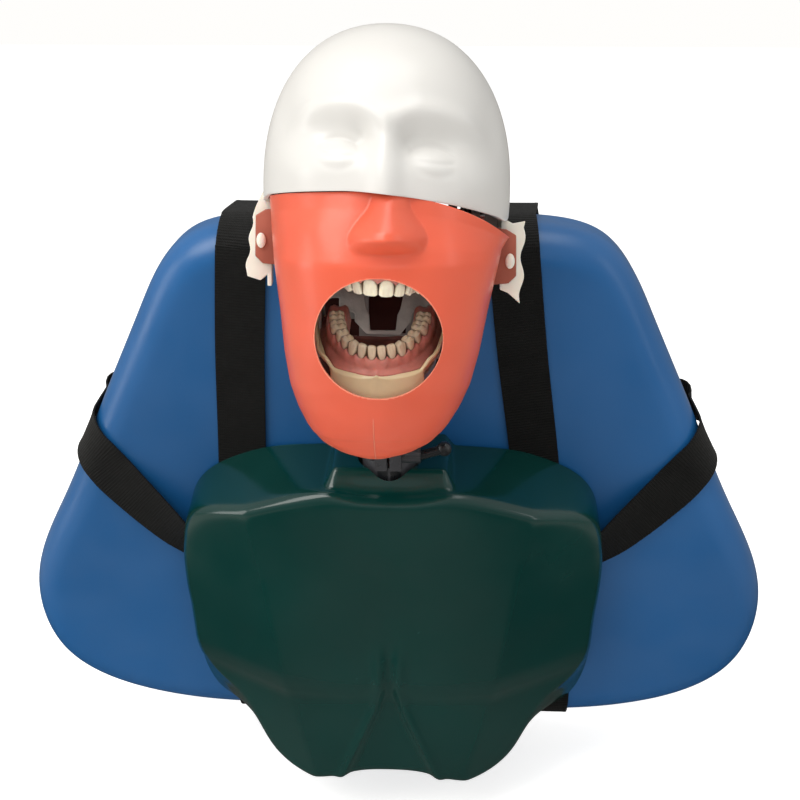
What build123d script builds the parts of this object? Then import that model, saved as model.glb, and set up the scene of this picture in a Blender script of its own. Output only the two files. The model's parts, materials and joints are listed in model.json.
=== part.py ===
"""Dental training manikin strapped to a padded back board.

Row frame, millimetres: +X to the viewer's right, -Y towards the viewer, +Z up. The origin is the centre of
the mounting block's rear face. The head is drawn upright in its own frame, whose origin is the middle of
the jaw hinge line, and is then leaned back and placed. The lower jaw is drawn closed and then opened.
"""
from build123d import *
from math import atan2, cos, degrees, hypot, radians, sin
import os

# Driving dimensions --------------------------------------------------------------------------------------
HEAD_POS = (0.0, -162.0, 250.0)      # jaw hinge line in the row frame
HEAD_LEAN = 14.0                     # degrees the head leans back at rest
JAW_OPEN = 25.0                      # degrees the jaw is open at rest
ARCH_PITCH = 4.0                     # degrees the bite plane drops towards the front

BLOCK_DEPTH = 30.0                   # mounting block, rear face at y = 0
BOARD_THICK = 12.0
PAD_THICK = 40.0
BOARD_REAR = -BLOCK_DEPTH
BOARD_FRONT = BOARD_REAR - BOARD_THICK
PAD_FRONT = BOARD_FRONT - PAD_THICK
MOUNT_SPACING_X, MOUNT_SPACING_Z = 110.0, 70.0
MOUNT_HOLE_R = 4.3

NECK_Y = -124.0                      # upright axis the head turns about
POST_R = 12.0
SHAFT_GAP = 0.05                     # radial running clearance
FIT_GAP = 0.3                        # clearance between fixed neighbours
TILT_PIN = (35.0, -75.0)             # nod pin (y, z) in the head frame
TILT_PIN_R = 5.0
HINGE_PIN_R = 4.0

STRAP_WIDTH, STRAP_THICK = 38.0, 1.8
CHEST_WALL = 3.5
MASK_WALL = 2.6
CAP_WALL = 3.0


# Helpers -------------------------------------------------------------------------------------------------
def box(x0, x1, y0, y1, z0, z1):
    """Box from its low and high sides."""
    centre = Pos((x0 + x1) / 2, (y0 + y1) / 2, (z0 + z1) / 2)
    return centre * Box(abs(x1 - x0), abs(y1 - y0), abs(z1 - z0))


def rod_z(r, x, y, z0, z1):
    """Upright cylinder."""
    return Pos(x, y, (z0 + z1) / 2) * Cylinder(r, abs(z1 - z0))


def rod_x(r, x0, x1, y, z):
    """Cylinder along X."""
    return Pos((x0 + x1) / 2, y, z) * Rot(0, 90, 0) * Cylinder(r, abs(x1 - x0))


def rod_y(r, x, y0, y1, z):
    """Cylinder along Y."""
    return Pos(x, (y0 + y1) / 2, z) * Rot(90, 0, 0) * Cylinder(r, abs(y1 - y0))


def both_sides(shape):
    """The shape and its mirror image across the middle plane."""
    return [shape, mirror(shape, about=Plane.YZ)]


def group(shapes):
    """Separate solids kept together in one node."""
    solids = []
    for shape in shapes:
        solids.extend(shape.solids())
    return Compound(children=solids)


def outline_prism(points, y0, y1):
    """Smooth symmetric outline, given as right-hand (x, z) points from top to bottom, between two y planes."""
    crown, base = (0, points[0][1]), (0, points[-1][1] - 4)
    left = [(-x, z) for x, z in reversed(points)]
    face = make_face(Spline([crown] + points + [base] + left, periodic=True))
    return Pos(0, y0, 0) * Rot(90, 0, 0) * extrude(face, amount=y0 - y1)


def prism_x(points, x0, x1):
    """Polygon of (y, z) points between two x planes."""
    face = make_face(Polyline(*points, close=True))
    return Pos(x0, 0, 0) * (Plane.YZ * extrude(face, amount=x1 - x0))


def view_face(points, y):
    """Upright polygon from right-hand (x, z) points and their mirror image, in the plane at y."""
    left = [(-x, z) for x, z in reversed(points) if x > 0]
    face = make_face(Polyline(*points, *left, close=True))
    return Pos(0, y, 0) * Rot(90, 0, 0) * face


def ellipsoid(a, b, c, x, y, z):
    """Ellipsoid with half axes a, b, c."""
    return Pos(x, y, z) * scale(Sphere(1), by=(a, b, c))


def webbing(path):
    """Flat band along a path of (point, outward direction) stations."""
    points = [Vector(*point) for point, outward in path]
    sections = []
    for i, (point, outward) in enumerate(path):
        before, after = points[max(i - 1, 0)], points[min(i + 1, len(points) - 1)]
        along = (after - before).normalized()
        across = along.cross(Vector(*outward)).normalized()
        plane = Plane(origin=points[i], x_dir=across, z_dir=along)
        sections.append(plane * Rectangle(STRAP_WIDTH, STRAP_THICK))
    return loft(sections, ruled=True)


def arch_solid(a, b, y_end, z0, z1):
    """Dental arch block: half an ellipse in front of y = 0, carried straight back to y_end."""
    front = Pos(0, 0, z0) * extrude(Ellipse(a, b), amount=z1 - z0)
    front &= box(-a, a, -b - 1, 0.01, z0 - 1, z1 + 1)
    return front + box(-a, a, 0, y_end, z0, z1)


def head(shape):
    """Moves a shape from the upright head frame to the row frame."""
    return Pos(*HEAD_POS) * Rot(-HEAD_LEAN, 0, 0) * shape


def jaw(shape):
    """Opens a shape drawn on the closed jaw, then places it with the head."""
    return head(Rot(JAW_OPEN, 0, 0) * shape)


def head_point(x, y, z):
    """A head-frame point in the row frame."""
    lean = radians(-HEAD_LEAN)
    return (
        HEAD_POS[0] + x,
        HEAD_POS[1] + y * cos(lean) - z * sin(lean),
        HEAD_POS[2] + y * sin(lean) + z * cos(lean),
    )


# Back board ----------------------------------------------------------------------------------------------
BOARD_OUTLINE = [(105, 220), (148, 208), (184, 152), (217, 83), (260, -4), (295.5, -80), (283, -146), (195, -194)]
PAD_LIP = 2.0                        # how far the pad wraps behind the board
PAD_EDGE_R = 26.0
COVER_REAR = BOARD_REAR + 11.0
COVER_WALL = 3.0
BLOCK_HALF = (80.0, 55.0)
BLOCK_SCREWS = [(sx * 68, sz * 18) for sx in (-1, 1) for sz in (-1, 1)]
COVER_SCREWS = [(-140, 165), (140, 165), (-200, 0), (200, 0), (-205, -130), (205, -130)]


def inset(points, d, middle_z=0.0):
    """The outline pulled in towards its middle by about d."""
    out = []
    for x, z in points:
        reach = hypot(x, z - middle_z)
        out.append((x * (1 - d / reach), middle_z + (z - middle_z) * (1 - d / reach)))
    return out


def backrest_pad():
    body = outline_prism(BOARD_OUTLINE, PAD_FRONT, BOARD_REAR + PAD_LIP)
    body = fillet(body.edges().group_by(Axis.Y)[0], PAD_EDGE_R)
    pocket = outline_prism(inset(BOARD_OUTLINE, 24), BOARD_FRONT, BOARD_REAR + PAD_LIP + 2)
    return body - pocket


def backrest_board():
    board = outline_prism(inset(BOARD_OUTLINE, 24.6), BOARD_FRONT + 0.05, BOARD_REAR)
    for x, z in BLOCK_SCREWS:
        board -= rod_y(2.6, x, BOARD_FRONT - 1, BOARD_REAR + 1, z)
    for x, z in COVER_SCREWS:
        board -= rod_y(1.7, x, BOARD_FRONT - 1, BOARD_REAR + 1, z)
    for place in ANCHOR_PLACES:
        board -= anchor_bores(place, 2.1)
    return board


def rear_cover():
    low = BOARD_REAR + PAD_LIP + FIT_GAP
    body = outline_prism(inset(BOARD_OUTLINE, 5), low, COVER_REAR)
    body = fillet(body.edges().group_by(Axis.Y)[-1], 5)
    body -= outline_prism(inset(BOARD_OUTLINE, 9), low - 1, COVER_REAR - COVER_WALL)
    half_x, half_z = BLOCK_HALF
    body -= box(-half_x - 2, half_x + 2, low, COVER_REAR + 2, -half_z - 2, half_z + 2)
    for x, z in COVER_SCREWS:
        body += rod_y(7, x, BOARD_REAR + FIT_GAP, COVER_REAR - 1, z)
        body -= rod_y(2.2, x, BOARD_REAR - 1, COVER_REAR + 1, z)
        body -= rod_y(4.4, x, COVER_REAR - 2.6, COVER_REAR + 1, z)
    for place in ANCHOR_PLACES:
        body -= anchor_bores(place, 2.6)
    return body


def rear_cover_screws():
    shapes = []
    for x, z in COVER_SCREWS:
        cap = rod_y(4.0, x, COVER_REAR - 2.5, COVER_REAR - 0.2, z)
        shapes.append(cap + rod_y(1.6, x, BOARD_FRONT + 1, COVER_REAR - 1, z))
    return group(shapes)


def mount_block():
    half_x, half_z = BLOCK_HALF
    body = box(-half_x, half_x, BOARD_REAR + 0.05, 0, -half_z, half_z)
    body = fillet(body.edges().filter_by(Axis.Y), 12)
    body -= rod_y(22, 0, BOARD_REAR, 1, 0)
    for sx in (-1, 1):
        for sz in (-1, 1):
            x, z = sx * MOUNT_SPACING_X / 2, sz * MOUNT_SPACING_Z / 2
            body -= rod_y(MOUNT_HOLE_R, x, BOARD_REAR, 1, z)
    for x, z in BLOCK_SCREWS:
        body -= rod_y(3.2, x, BOARD_REAR, 1, z)
        body -= rod_y(5.8, x, -8, 1, z)
    return body


def mount_block_screws():
    shapes = []
    for x, z in BLOCK_SCREWS:
        cap = rod_y(5.0, x, -7.9, -2.5, z) - rod_y(2.4, x, -5.5, 0, z)
        shapes.append(cap + rod_y(2.5, x, BOARD_FRONT + 1, -7.5, z))
    return group(shapes)


# Chest ---------------------------------------------------------------------------------------------------
CHEST_REAR = PAD_FRONT - 2.2         # the webbing runs in the gap between chest and pad
CHEST_MIDDLE_Z = -80.0
CHEST_REAR_VIEW = [
    (0, 58), (50, 57), (126, 32), (152, 8), (157, -60), (154, -150),
    (138, -176), (118, -188), (100, -211), (69, -220), (36, -210), (0, -208),
]
CHEST_FRONT_VIEW = [
    (0, 43), (47, 52), (108, 20), (154, -8), (158, -60), (155, -156),
    (138, -178), (120, -188), (101, -211), (69, -221), (36, -210), (0, -208),
]
# z, half width at the rear, side corner (x, y), front crease (x, y), front middle y
CHEST_LEVELS = [
    (-226, 128, (124, -112), (76, -151), -151),
    (-128, 154, (158, -114), (83, -166), -168),
    (0, 154, (159, -134), (112, -153), -164),
    (66, 150, (152, -128), (60, -160), -161),
]
GROOVE_TOP_Z = -88.0
PLATE_SCREWS = [(-144, -30), (144, -30), (-144, -120), (144, -120), (-60, 44), (60, 44), (-80, -205), (80, -205)]
NECK_HOLE_R = 23.0
PLATE_THICK = 4.0


def chest_form(d, rear_y):
    """The chest's outside pulled in by d, running back to rear_y."""
    levels = []
    for z, rear, side, crease, middle_y in CHEST_LEVELS:
        right = [(0, middle_y + d), (crease[0] - d / 2, crease[1] + d), (side[0] - d, side[1] + d), (rear - d, rear_y)]
        left = [(-x, y) for x, y in reversed(right) if x > 0]
        face = make_face(Polyline(*right, *left, close=True))
        corners = [v for v in face.vertices() if abs(v.X) > 1 and v.Y < rear_y - 1]
        levels.append(Pos(0, 0, z) * fillet(corners, 13))
    form = loft(levels, ruled=True)
    rear_view = view_face(inset(CHEST_REAR_VIEW, d, CHEST_MIDDLE_Z), rear_y + 1)
    front_view = view_face(inset(CHEST_FRONT_VIEW, d, CHEST_MIDDLE_Z), -176)
    form &= loft([rear_view, front_view], ruled=True)
    groove_top = Pos(0, -171, GROOVE_TOP_Z + 3 * d) * Rectangle(1.0 + d, 4)
    groove_foot = Pos(0, -160 + d, -232) * Rectangle(74 + 2 * d, 34)
    return form - loft([groove_top, groove_foot], ruled=True)


def chest_shell():
    outer = chest_form(0, CHEST_REAR)
    collar = box(-47, 47, -156, CHEST_REAR, 20, 65)
    collar = chamfer(collar.edges().filter_by(Axis.Y).group_by(Axis.Z)[-1], 7)
    outer += collar
    shell = outer - chest_form(CHEST_WALL, CHEST_REAR + 5)
    shell -= box(-43.5, 43.5, -152.5, CHEST_REAR + 1, 16, 61)
    shell -= rod_z(NECK_HOLE_R, 0, NECK_Y, 40, 70)
    plate_front = CHEST_REAR - PLATE_THICK
    for x, z in PLATE_SCREWS:
        shell += rod_y(9, x, plate_front - 28, plate_front - 0.3, z) & outer
    bores = [rod_y(2.05, x, plate_front - 20, plate_front, z) for x, z in PLATE_SCREWS]
    return shell - bores


def chest_back_plate():
    slab = box(-170, 170, CHEST_REAR - PLATE_THICK, CHEST_REAR - 0.1, -230, 70)
    plate = chest_form(CHEST_WALL + 1.5, CHEST_REAR) & slab
    for x, z in PLATE_SCREWS:
        plate -= rod_y(2.4, x, CHEST_REAR - 6, CHEST_REAR + 1, z)
        plate -= rod_y(4.4, x, CHEST_REAR - 2.4, CHEST_REAR + 1, z)
    for x, z in SOCKET_SCREWS:
        plate -= rod_y(2.9, x, CHEST_REAR - 6, CHEST_REAR + 1, z)
        plate -= rod_y(5.2, x, CHEST_REAR - 2.7, CHEST_REAR + 1, z)
    for x, z in RIVETS:
        plate -= rod_y(RIVET_R + 0.05, x, CHEST_REAR - 6, CHEST_REAR + 1, z)
    return plate


def chest_plate_screws():
    shapes = []
    for x, z in PLATE_SCREWS:
        cap = rod_y(4.2, x, CHEST_REAR - 2.3, CHEST_REAR - 0.3, z)
        shapes.append(cap + rod_y(2.0, x, CHEST_REAR - PLATE_THICK - 16, CHEST_REAR - 2, z))
    return group(shapes)


def chest_feet():
    shapes = []
    for x in (-70, 0, 70):
        for z in (-140, -75):
            shapes.append(rod_y(14, x, CHEST_REAR + 0.02, PAD_FRONT - 0.05, z))
    return group(shapes)


# Webbing -------------------------------------------------------------------------------------------------
FLAT_Y = PAD_FRONT - 0.15 - STRAP_THICK / 2
REAR_Y = COVER_REAR + 0.15 + STRAP_THICK / 2
SHOULDER_X, SHOULDER_SLANT = 96.0, 5.35
SHOULDER_TURN_Z = 200.0              # height the slanted strap is swung about
SHOULDER_TOP = 225.4
SIDE_START = (148.0, -35.3)
SIDE_EDGE = (234.5, 47.6)            # where the strap crosses the board's outline
SIDE_OUT = (0.897, 0.443)            # the outline's outward direction there
BELT_Z = 85.0
LOWER_X = {"left": -112.0, "right": 127.0}
LOWER_BOTTOM = -203.0
RIVET_R = 2.5
ANCHOR_Z = 132.0
ANCHOR_PLACES = [
    ("shoulder", 1), ("shoulder", -1), ("lower", LOWER_X["left"]), ("lower", LOWER_X["right"]),
]
RIVETS = [
    (112.5, 22), (112.5, 8), (-112.5, 22), (-112.5, 8),
    (LOWER_X["left"], -162), (LOWER_X["left"], -148), (LOWER_X["right"], -162), (LOWER_X["right"], -148),
]
SOCKET_SCREWS = [(-24, -58), (24, -58), (-24, 8), (24, 8)]


def turn_stations(centre_y, centre_z, r, start, stop, steps):
    """Stations round an edge, from one angle to another; 180 faces the viewer and 90 faces up."""
    stations = []
    for i in range(steps + 1):
        angle = radians(start + (stop - start) * i / steps)
        out = (0, cos(angle), sin(angle))
        stations.append(((0, centre_y + r * cos(angle), centre_z + r * sin(angle)), out))
    return stations


def shoulder_place(side):
    return Pos(side * SHOULDER_X, 0, SHOULDER_TURN_Z) * Rot(0, -side * SHOULDER_SLANT, 0) * Pos(0, 0, -SHOULDER_TURN_Z)


def shoulder_strap(side):
    half = STRAP_THICK / 2
    path = [((0, FLAT_Y, 0), (0, -1, 0))]
    path += turn_stations(PAD_FRONT + PAD_EDGE_R, SHOULDER_TOP - PAD_EDGE_R - half, PAD_EDGE_R + 0.15 + half, 180, 90, 6)
    path += turn_stations(COVER_REAR - 6, SHOULDER_TOP - 6 - half, 6.15 + half, 90, 0, 4)
    path.append(((0, REAR_Y, ANCHOR_Z - 14), (0, 1, 0)))
    strap = shoulder_place(side) * webbing(path)
    strap -= anchor_bores(("shoulder", side), 2.3)
    for x, z in RIVETS:
        if x * side > 0 and z > 0:
            strap -= rod_y(RIVET_R + 0.05, x, CHEST_REAR, PAD_FRONT + 1, z)
    return strap


def shoulder_strap_left():
    return shoulder_strap(-1)


def shoulder_strap_right():
    return shoulder_strap(1)


def side_strap():
    """Right-hand belt: behind the chest, out over the pad's flank, then along the rear to the buckle."""
    out_x, out_z = SIDE_OUT

    def edge_point(outward, along, y):
        x = SIDE_EDGE[0] + outward * out_x - along * out_z
        return (x, y, SIDE_EDGE[1] + outward * out_z + along * out_x)

    half = STRAP_THICK / 2
    path = [((SIDE_START[0], FLAT_Y, SIDE_START[1]), (0, -1, 0))]
    for i in range(7):
        angle = radians(90 * i / 6)
        r = PAD_EDGE_R + 0.15 + half + 1.2 * i / 6
        outward = -PAD_EDGE_R + r * sin(angle)
        along = -8.2 + 12.9 * i / 6
        y = PAD_FRONT + PAD_EDGE_R - r * cos(angle)
        facing = (out_x * sin(angle), -cos(angle), out_z * sin(angle))
        path.append((edge_point(outward, along, y), facing))
    for i in range(5):
        angle = radians(90 * i / 4)
        r = 7.35 + half
        outward = -6 + r * cos(angle)
        along = 15.0 + 7 * i / 4
        y = COVER_REAR - 7.2 + r * sin(angle)
        facing = (out_x * cos(angle), sin(angle), out_z * cos(angle))
        path.append((edge_point(outward, along, y), facing))
    path.append(((60, REAR_Y, BELT_Z - 3), (0, 1, 0)))
    path.append(((8, REAR_Y, BELT_Z), (0, 1, 0)))
    strap = webbing(path)
    for x, z in BELT_RIVETS:
        if x > 0:
            strap -= rod_y(RIVET_R + 0.05, x, COVER_REAR - 1, -5, z)
    return strap


def side_strap_right():
    return side_strap()


def side_strap_left():
    return mirror(side_strap(), about=Plane.YZ)


def lower_strap(x):
    half = STRAP_THICK / 2
    path = [((0, FLAT_Y, -136), (0, -1, 0))]
    path += turn_stations(PAD_FRONT + PAD_EDGE_R, LOWER_BOTTOM + PAD_EDGE_R + half, PAD_EDGE_R + 0.15 + half, 180, 270, 6)
    path += turn_stations(COVER_REAR - 6, LOWER_BOTTOM + 6 + half, 6.15 + half, 270, 360, 4)
    path.append(((0, REAR_Y, -ANCHOR_Z + 14), (0, 1, 0)))
    strap = Pos(x, 0, 0) * webbing(path)
    strap -= anchor_bores(("lower", x), 2.3)
    for rivet_x, z in RIVETS:
        if rivet_x == x:
            strap -= rod_y(RIVET_R + 0.05, rivet_x, CHEST_REAR, PAD_FRONT + 1, z)
    return strap


def lower_strap_left():
    return lower_strap(LOWER_X["left"])


def lower_strap_right():
    return lower_strap(LOWER_X["right"])


def strap_rivets():
    shapes = []
    for x, z in RIVETS:
        shank = rod_y(RIVET_R, x, CHEST_REAR - PLATE_THICK - 1.5, PAD_FRONT - 0.1, z)
        shapes.append(shank + rod_y(4.5, x, CHEST_REAR - PLATE_THICK - 1.6, CHEST_REAR - PLATE_THICK - 0.1, z))
    return group(shapes)


def anchor_place(place):
    """Where a strap's rear end is clamped: the middle of its anchor plate."""
    kind, value = place
    if kind == "shoulder":
        return shoulder_place(value) * Pos(0, 0, ANCHOR_Z)
    return Pos(value, 0, -ANCHOR_Z)


def anchor_bores(place, r):
    bores = rod_y(r, -11, BOARD_FRONT - 1, -10, 0) + rod_y(r, 11, BOARD_FRONT - 1, -10, 0)
    return anchor_place(place) * bores


def strap_anchors():
    y0 = COVER_REAR + 0.3 + STRAP_THICK
    shapes = []
    for place in ANCHOR_PLACES:
        plate = box(-23, 23, y0, y0 + 2.5, -9, 9)
        plate = fillet(plate.edges().filter_by(Axis.Y), 5)
        shapes.append(anchor_place(place) * plate - anchor_bores(place, 2.3))
    return group(shapes)


def anchor_screws():
    y0 = COVER_REAR + 0.4 + STRAP_THICK + 2.5
    shapes = []
    for place in ANCHOR_PLACES:
        for x in (-11, 11):
            screw = rod_y(2.0, x, BOARD_FRONT + 1, y0 + 1, 0) + rod_y(4.2, x, y0, y0 + 3, 0)
            screw -= rod_y(1.6, x, y0 + 1.4, y0 + 4, 0)
            shapes.append(anchor_place(place) * screw)
    return group(shapes)


# Belt buckle at the rear ---------------------------------------------------------------------------------
BELT_RIVETS = [(-16, 75), (-16, 95), (16, 75), (16, 95)]
BUCKLE_Y = COVER_REAR + 0.3 + STRAP_THICK
CAM_PIN = (0.0, BUCKLE_Y + 7.5)      # x, y of the cam's pin
CAM_PIN_R = 2.5
CHEEK_Z = (BELT_Z - 24, BELT_Z + 24)


def buckle_frame():
    low, high = CHEEK_Z
    frame = box(-24, 24, BUCKLE_Y, BUCKLE_Y + 1.6, low, high)
    frame -= box(-6, 6, BUCKLE_Y - 1, BUCKLE_Y + 3, low + 4, high - 4)
    for z0, z1 in ((low, low + 2), (high - 2, high)):
        frame += box(-10, 10, BUCKLE_Y, BUCKLE_Y + 8, z0, z1)
        frame += rod_z(5, *CAM_PIN, z0, z1)
    frame -= rod_z(CAM_PIN_R + 0.02, *CAM_PIN, low - 1, high + 1)
    for x, z in BELT_RIVETS:
        frame -= rod_y(RIVET_R + 0.05, x, COVER_REAR - 1, -5, z)
    return frame


def buckle_rivets():
    shapes = []
    for x, z in BELT_RIVETS:
        shank = rod_y(RIVET_R, x, COVER_REAR + 0.1, BUCKLE_Y + 2.4, z)
        shapes.append(shank + rod_y(3.6, x, BUCKLE_Y + 1.7, BUCKLE_Y + 3, z))
    return group(shapes)


def buckle_pin():
    low, high = CHEEK_Z
    return rod_z(CAM_PIN_R, *CAM_PIN, low - 0.8, high + 0.8)


def buckle_cam():
    low, high = CHEEK_Z[0] + 2.4, CHEEK_Z[1] - 2.4
    x, y = CAM_PIN
    cam = rod_z(5.0, x, y, low, high)
    lever = box(x, x + 34, y + 1.4, y + 4.4, low + 3, high - 3)
    lever = fillet(lever.edges().filter_by(Axis.Y).group_by(Axis.X)[-1], 8)
    cam += lever
    return cam - rod_z(CAM_PIN_R + SHAFT_GAP, x, y, low - 1, high + 1)


# Neck ----------------------------------------------------------------------------------------------------
CLAMP_BOLT = (-152.0, 82.0)          # y, z of the neck clamp's bolt
CLAMP_BOLT_R = 3.0
SOCKET_R = 20.0
SPIGOT_R = 8.0
HUB_Z = (104.0, 126.0)
FORK_X = (12.5, 20.5)
LUG_X = (21.0, 27.0)


def neck_socket():
    body = rod_z(SOCKET_R, 0, NECK_Y, -66, 96)
    body += box(-9, 9, -160, NECK_Y, 72, 92)
    foot_y = CHEST_REAR - PLATE_THICK - 0.05
    body += box(-33, 33, foot_y - 5, foot_y, -66, 16)
    body += box(-4, 4, NECK_Y, foot_y - 4, -66, 16)
    body -= rod_z(POST_R + SHAFT_GAP, 0, NECK_Y, -67, 97)
    body -= box(-1, 1, -161, NECK_Y, 66, 97)
    body -= rod_x(CLAMP_BOLT_R + SHAFT_GAP, -10, 10, *CLAMP_BOLT)
    for x, z in SOCKET_SCREWS:
        body -= rod_y(2.55, x, foot_y - 6, foot_y + 1, z)
    return body


def neck_socket_screws():
    shapes = []
    for x, z in SOCKET_SCREWS:
        cap = rod_y(5.0, x, CHEST_REAR - 2.6, CHEST_REAR - 0.3, z)
        shapes.append(cap + rod_y(2.5, x, CHEST_REAR - PLATE_THICK - 7, CHEST_REAR - 2, z))
    return group(shapes)


def neck_clamp_lever():
    y, z = CLAMP_BOLT
    bolt = rod_x(CLAMP_BOLT_R, -12, 22, y, z) + rod_x(5.5, -13, -9.3, y, z)
    hub = rod_x(6.5, 9.3, 22, y, z)
    bar = Pos(26, y, z) * Rot(0, 72, 0) * Cylinder(3.4, 26)
    knob = Pos(38, y, z + 3.9) * Sphere(5.2)
    return bolt + hub + bar + knob


def neck_post():
    post = rod_z(POST_R, 0, NECK_Y, -58, 103) + rod_z(SPIGOT_R, 0, NECK_Y, 102, HUB_Z[1] - 0.2)
    return post - rod_z(3.0, 0, NECK_Y, 106, 130)


def neck_top_bolt():
    z = HUB_Z[1] + 0.1
    bolt = rod_z(2.95, 0, NECK_Y, 108, z + 1) + rod_z(11, 0, NECK_Y, z, z + 2)
    return bolt + Pos(0, NECK_Y, z + 1.9) * extrude(RegularPolygon(5.5, 6), amount=4)


def turn_washer():
    return rod_z(POST_R + 4, 0, NECK_Y, 103.1, 103.8) - rod_z(SPIGOT_R + 0.1, 0, NECK_Y, 103, 104)


TILT_POINT = head_point(0, *TILT_PIN)
TURN_KNOB_Z = 115.0


def neck_yoke():
    y, z = TILT_POINT[1:]
    body = rod_z(22, 0, NECK_Y, *HUB_Z)
    side = [(-141, 106), (y - 10, z - 4), (y + 6, z + 8.5), (-108, HUB_Z[1]), (-108, 106)]
    for x0, x1 in (FORK_X, (-FORK_X[1], -FORK_X[0])):
        body += prism_x(side, x0, x1) + rod_x(10.5, x0, x1, y, z)
    body -= box(-FORK_X[0], FORK_X[0], -170, -90, HUB_Z[1], 190)
    body -= rod_z(SPIGOT_R + SHAFT_GAP, 0, NECK_Y, 100, 130)
    body -= rod_x(TILT_PIN_R + SHAFT_GAP, -30, 30, y, z)
    return body - rod_x(3.0 + SHAFT_GAP, -24, -SPIGOT_R, NECK_Y, TURN_KNOB_Z)


def turn_lock_knob():
    knob = rod_x(9, -37, -25, NECK_Y, TURN_KNOB_Z)
    knob = fillet(knob.edges(), 2)
    for i in range(8):
        angle = radians(45 * i)
        knob -= rod_x(2.2, -38, -24, NECK_Y + 10 * cos(angle), TURN_KNOB_Z + 10 * sin(angle))
    return knob + rod_x(3.0, -26, -SPIGOT_R - 0.5, NECK_Y, TURN_KNOB_Z)


# Head ----------------------------------------------------------------------------------------------------
CORE_HALF = (67.0, 83.0)
CORE_Z = (9.0, 24.0)
CORE_Y = 6.0
CAP_SCREWS = [(-52, -36), (52, -36), (-52, 48), (52, 48)]
CORE_SCREWS = [(-40, 30), (40, 30)]
EAR_SCREWS_Z = (-9, 2)
CONDYLE_X = (52.0, 57.0)
ARCH_MIDDLE = (-41.0, -38.5)         # y, z of the dental arches' middle in the head frame
CARRIER_Z = (26.3, 31.3)
BUTTON = (77.5, -22.0)               # x, z of a mask button
# z, half width, front y, rear y of the mask's outside
MASK_LEVELS = [
    (12, 72.5, -87, -12), (-8, 70, -92, -12), (-28, 67, -97, -12), (-55, 62.5, -93.5, -12), (-81, 58.7, -89.5, -12),
    (-105, 52, -81, -14), (-126, 42, -70, -20), (-139, 27, -56, -30),
]
MOUTH_Z, MOUTH_HALF = -66.0, (35.5, 33.5)


def arch(shape):
    """Moves a shape from the bite plane's own frame to the head frame."""
    return Pos(0, *ARCH_MIDDLE) * Rot(ARCH_PITCH, 0, 0) * shape


def head_chassis():
    body = box(-69.5, 69.5, 26, 34, -14, 4)
    body += box(-28, 28, 22, 50, -20, CORE_Z[0] - 0.1)
    throat = box(-28, 28, 17, 22, -66, -10) + box(-18, 18, 17, 22, -78, -60)
    throat -= box(-12, 12, 16, 23, -75, -24)
    body += throat
    pin_y, pin_z = TILT_PIN
    hinge = []
    for x0, x1 in (LUG_X, (-LUG_X[1], -LUG_X[0])):
        body += box(x0, x1, 20, 47, -66, -10) + rod_x(12, x0, x1, pin_y, pin_z)
        body += box(x0, x1, pin_y - 12, pin_y + 12, pin_z, -60)
    for x0, x1 in (CONDYLE_X, (-CONDYLE_X[1], -CONDYLE_X[0])):
        body += box(x0, x1, 0, 34, -8.5, 8.5) + rod_x(8.5, x0, x1, 0, 0)
    body += arch(box(-26, 26, -38, 66, *CARRIER_Z))
    body -= rod_x(TILT_PIN_R + SHAFT_GAP, -40, 40, pin_y, pin_z)
    body -= rod_x(HINGE_PIN_R + 0.03, -60, 60, 0, 0)
    body -= arch(rod_z(3.2, 0, -12, CARRIER_Z[0] - 1, CARRIER_Z[1] + 1))
    for x, y in CORE_SCREWS:
        body -= rod_z(2.6, x, y, -16, 12)
    for z in EAR_SCREWS_Z:
        body -= rod_x(1.6, -71, 71, 30, z - 6)
    return head(body)


def head_core():
    body = Pos(0, CORE_Y, CORE_Z[0]) * extrude(Ellipse(*CORE_HALF), amount=CORE_Z[1] - CORE_Z[0])
    body = chamfer(body.edges().group_by(Axis.Z)[-1], 3)
    body -= Pos(0, 8, CORE_Z[0] + 5) * extrude(Ellipse(44, 56), amount=20)
    for x, y in CAP_SCREWS:
        body -= rod_z(2.3, x, y, 0, 30)
    for x, y in CORE_SCREWS:
        body -= rod_z(2.1, x, y, 0, 21)
    return head(body)


def core_screws():
    shapes = []
    for x, y in CORE_SCREWS:
        shapes.append(rod_z(2.0, x, y, -15, 20) + rod_z(4.5, x, y, -18, -14.2))
    return head(group(shapes))


def dome(d):
    """The skull's outside pulled in by d."""
    return ellipsoid(75.5 - d, 96 - d, 97 - d, 0, 6, 15)


def skull_cap():
    outer = dome(0)
    outer += dome(-3) & ellipsoid(54, 60, 9, 0, -50, 44)
    outer += ellipsoid(9, 8, 20, 0, -85, 29)
    for x in (-27, 27):
        outer += ellipsoid(14, 9, 9, x, -76, 27)
    shell = outer - dome(CAP_WALL)
    for x, y in CAP_SCREWS:
        shell += rod_z(6, x, y, CORE_Z[1] + 0.3, 110) & dome(1)
        shell -= rod_z(2.05, x, y, 20, 42)
    seam = [(-130, 18.5), (0, 6), (40, 6), (130, 24), (130, -120), (-130, -120)]
    return head(shell - prism_x(seam, -90, 90))


def cap_screws():
    shapes = []
    for x, y in CAP_SCREWS:
        shapes.append(rod_z(2.0, x, y, 8, 40) + rod_z(4.2, x, y, CORE_Z[0] - 3.2, CORE_Z[0] - 0.1))
    return head(group(shapes))


def ear_plate():
    """Right-hand plate: a leg on the cross beam's end and a flange that turns out behind the mask's flap."""
    leg = box(69.8, 72.8, -9.6, 36, -16, 2)
    flange = box(69.8, 85.5, -9.6, -6.8, -46, 2)
    flange = fillet(flange.edges().filter_by(Axis.Y).group_by(Axis.X)[-1], 4)
    for z in (-30, -10):
        flange -= rod_y(6, 89, -12, -4, z)
    plate = leg + flange + box(69.8, 72.8, -9.6, 0, -46, 0)
    plate -= rod_y(2.55, BUTTON[0], -12, -4, BUTTON[1])
    for z in EAR_SCREWS_Z:
        plate -= rod_x(1.9, 68, 74, 30, z - 6)
    return plate


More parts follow.
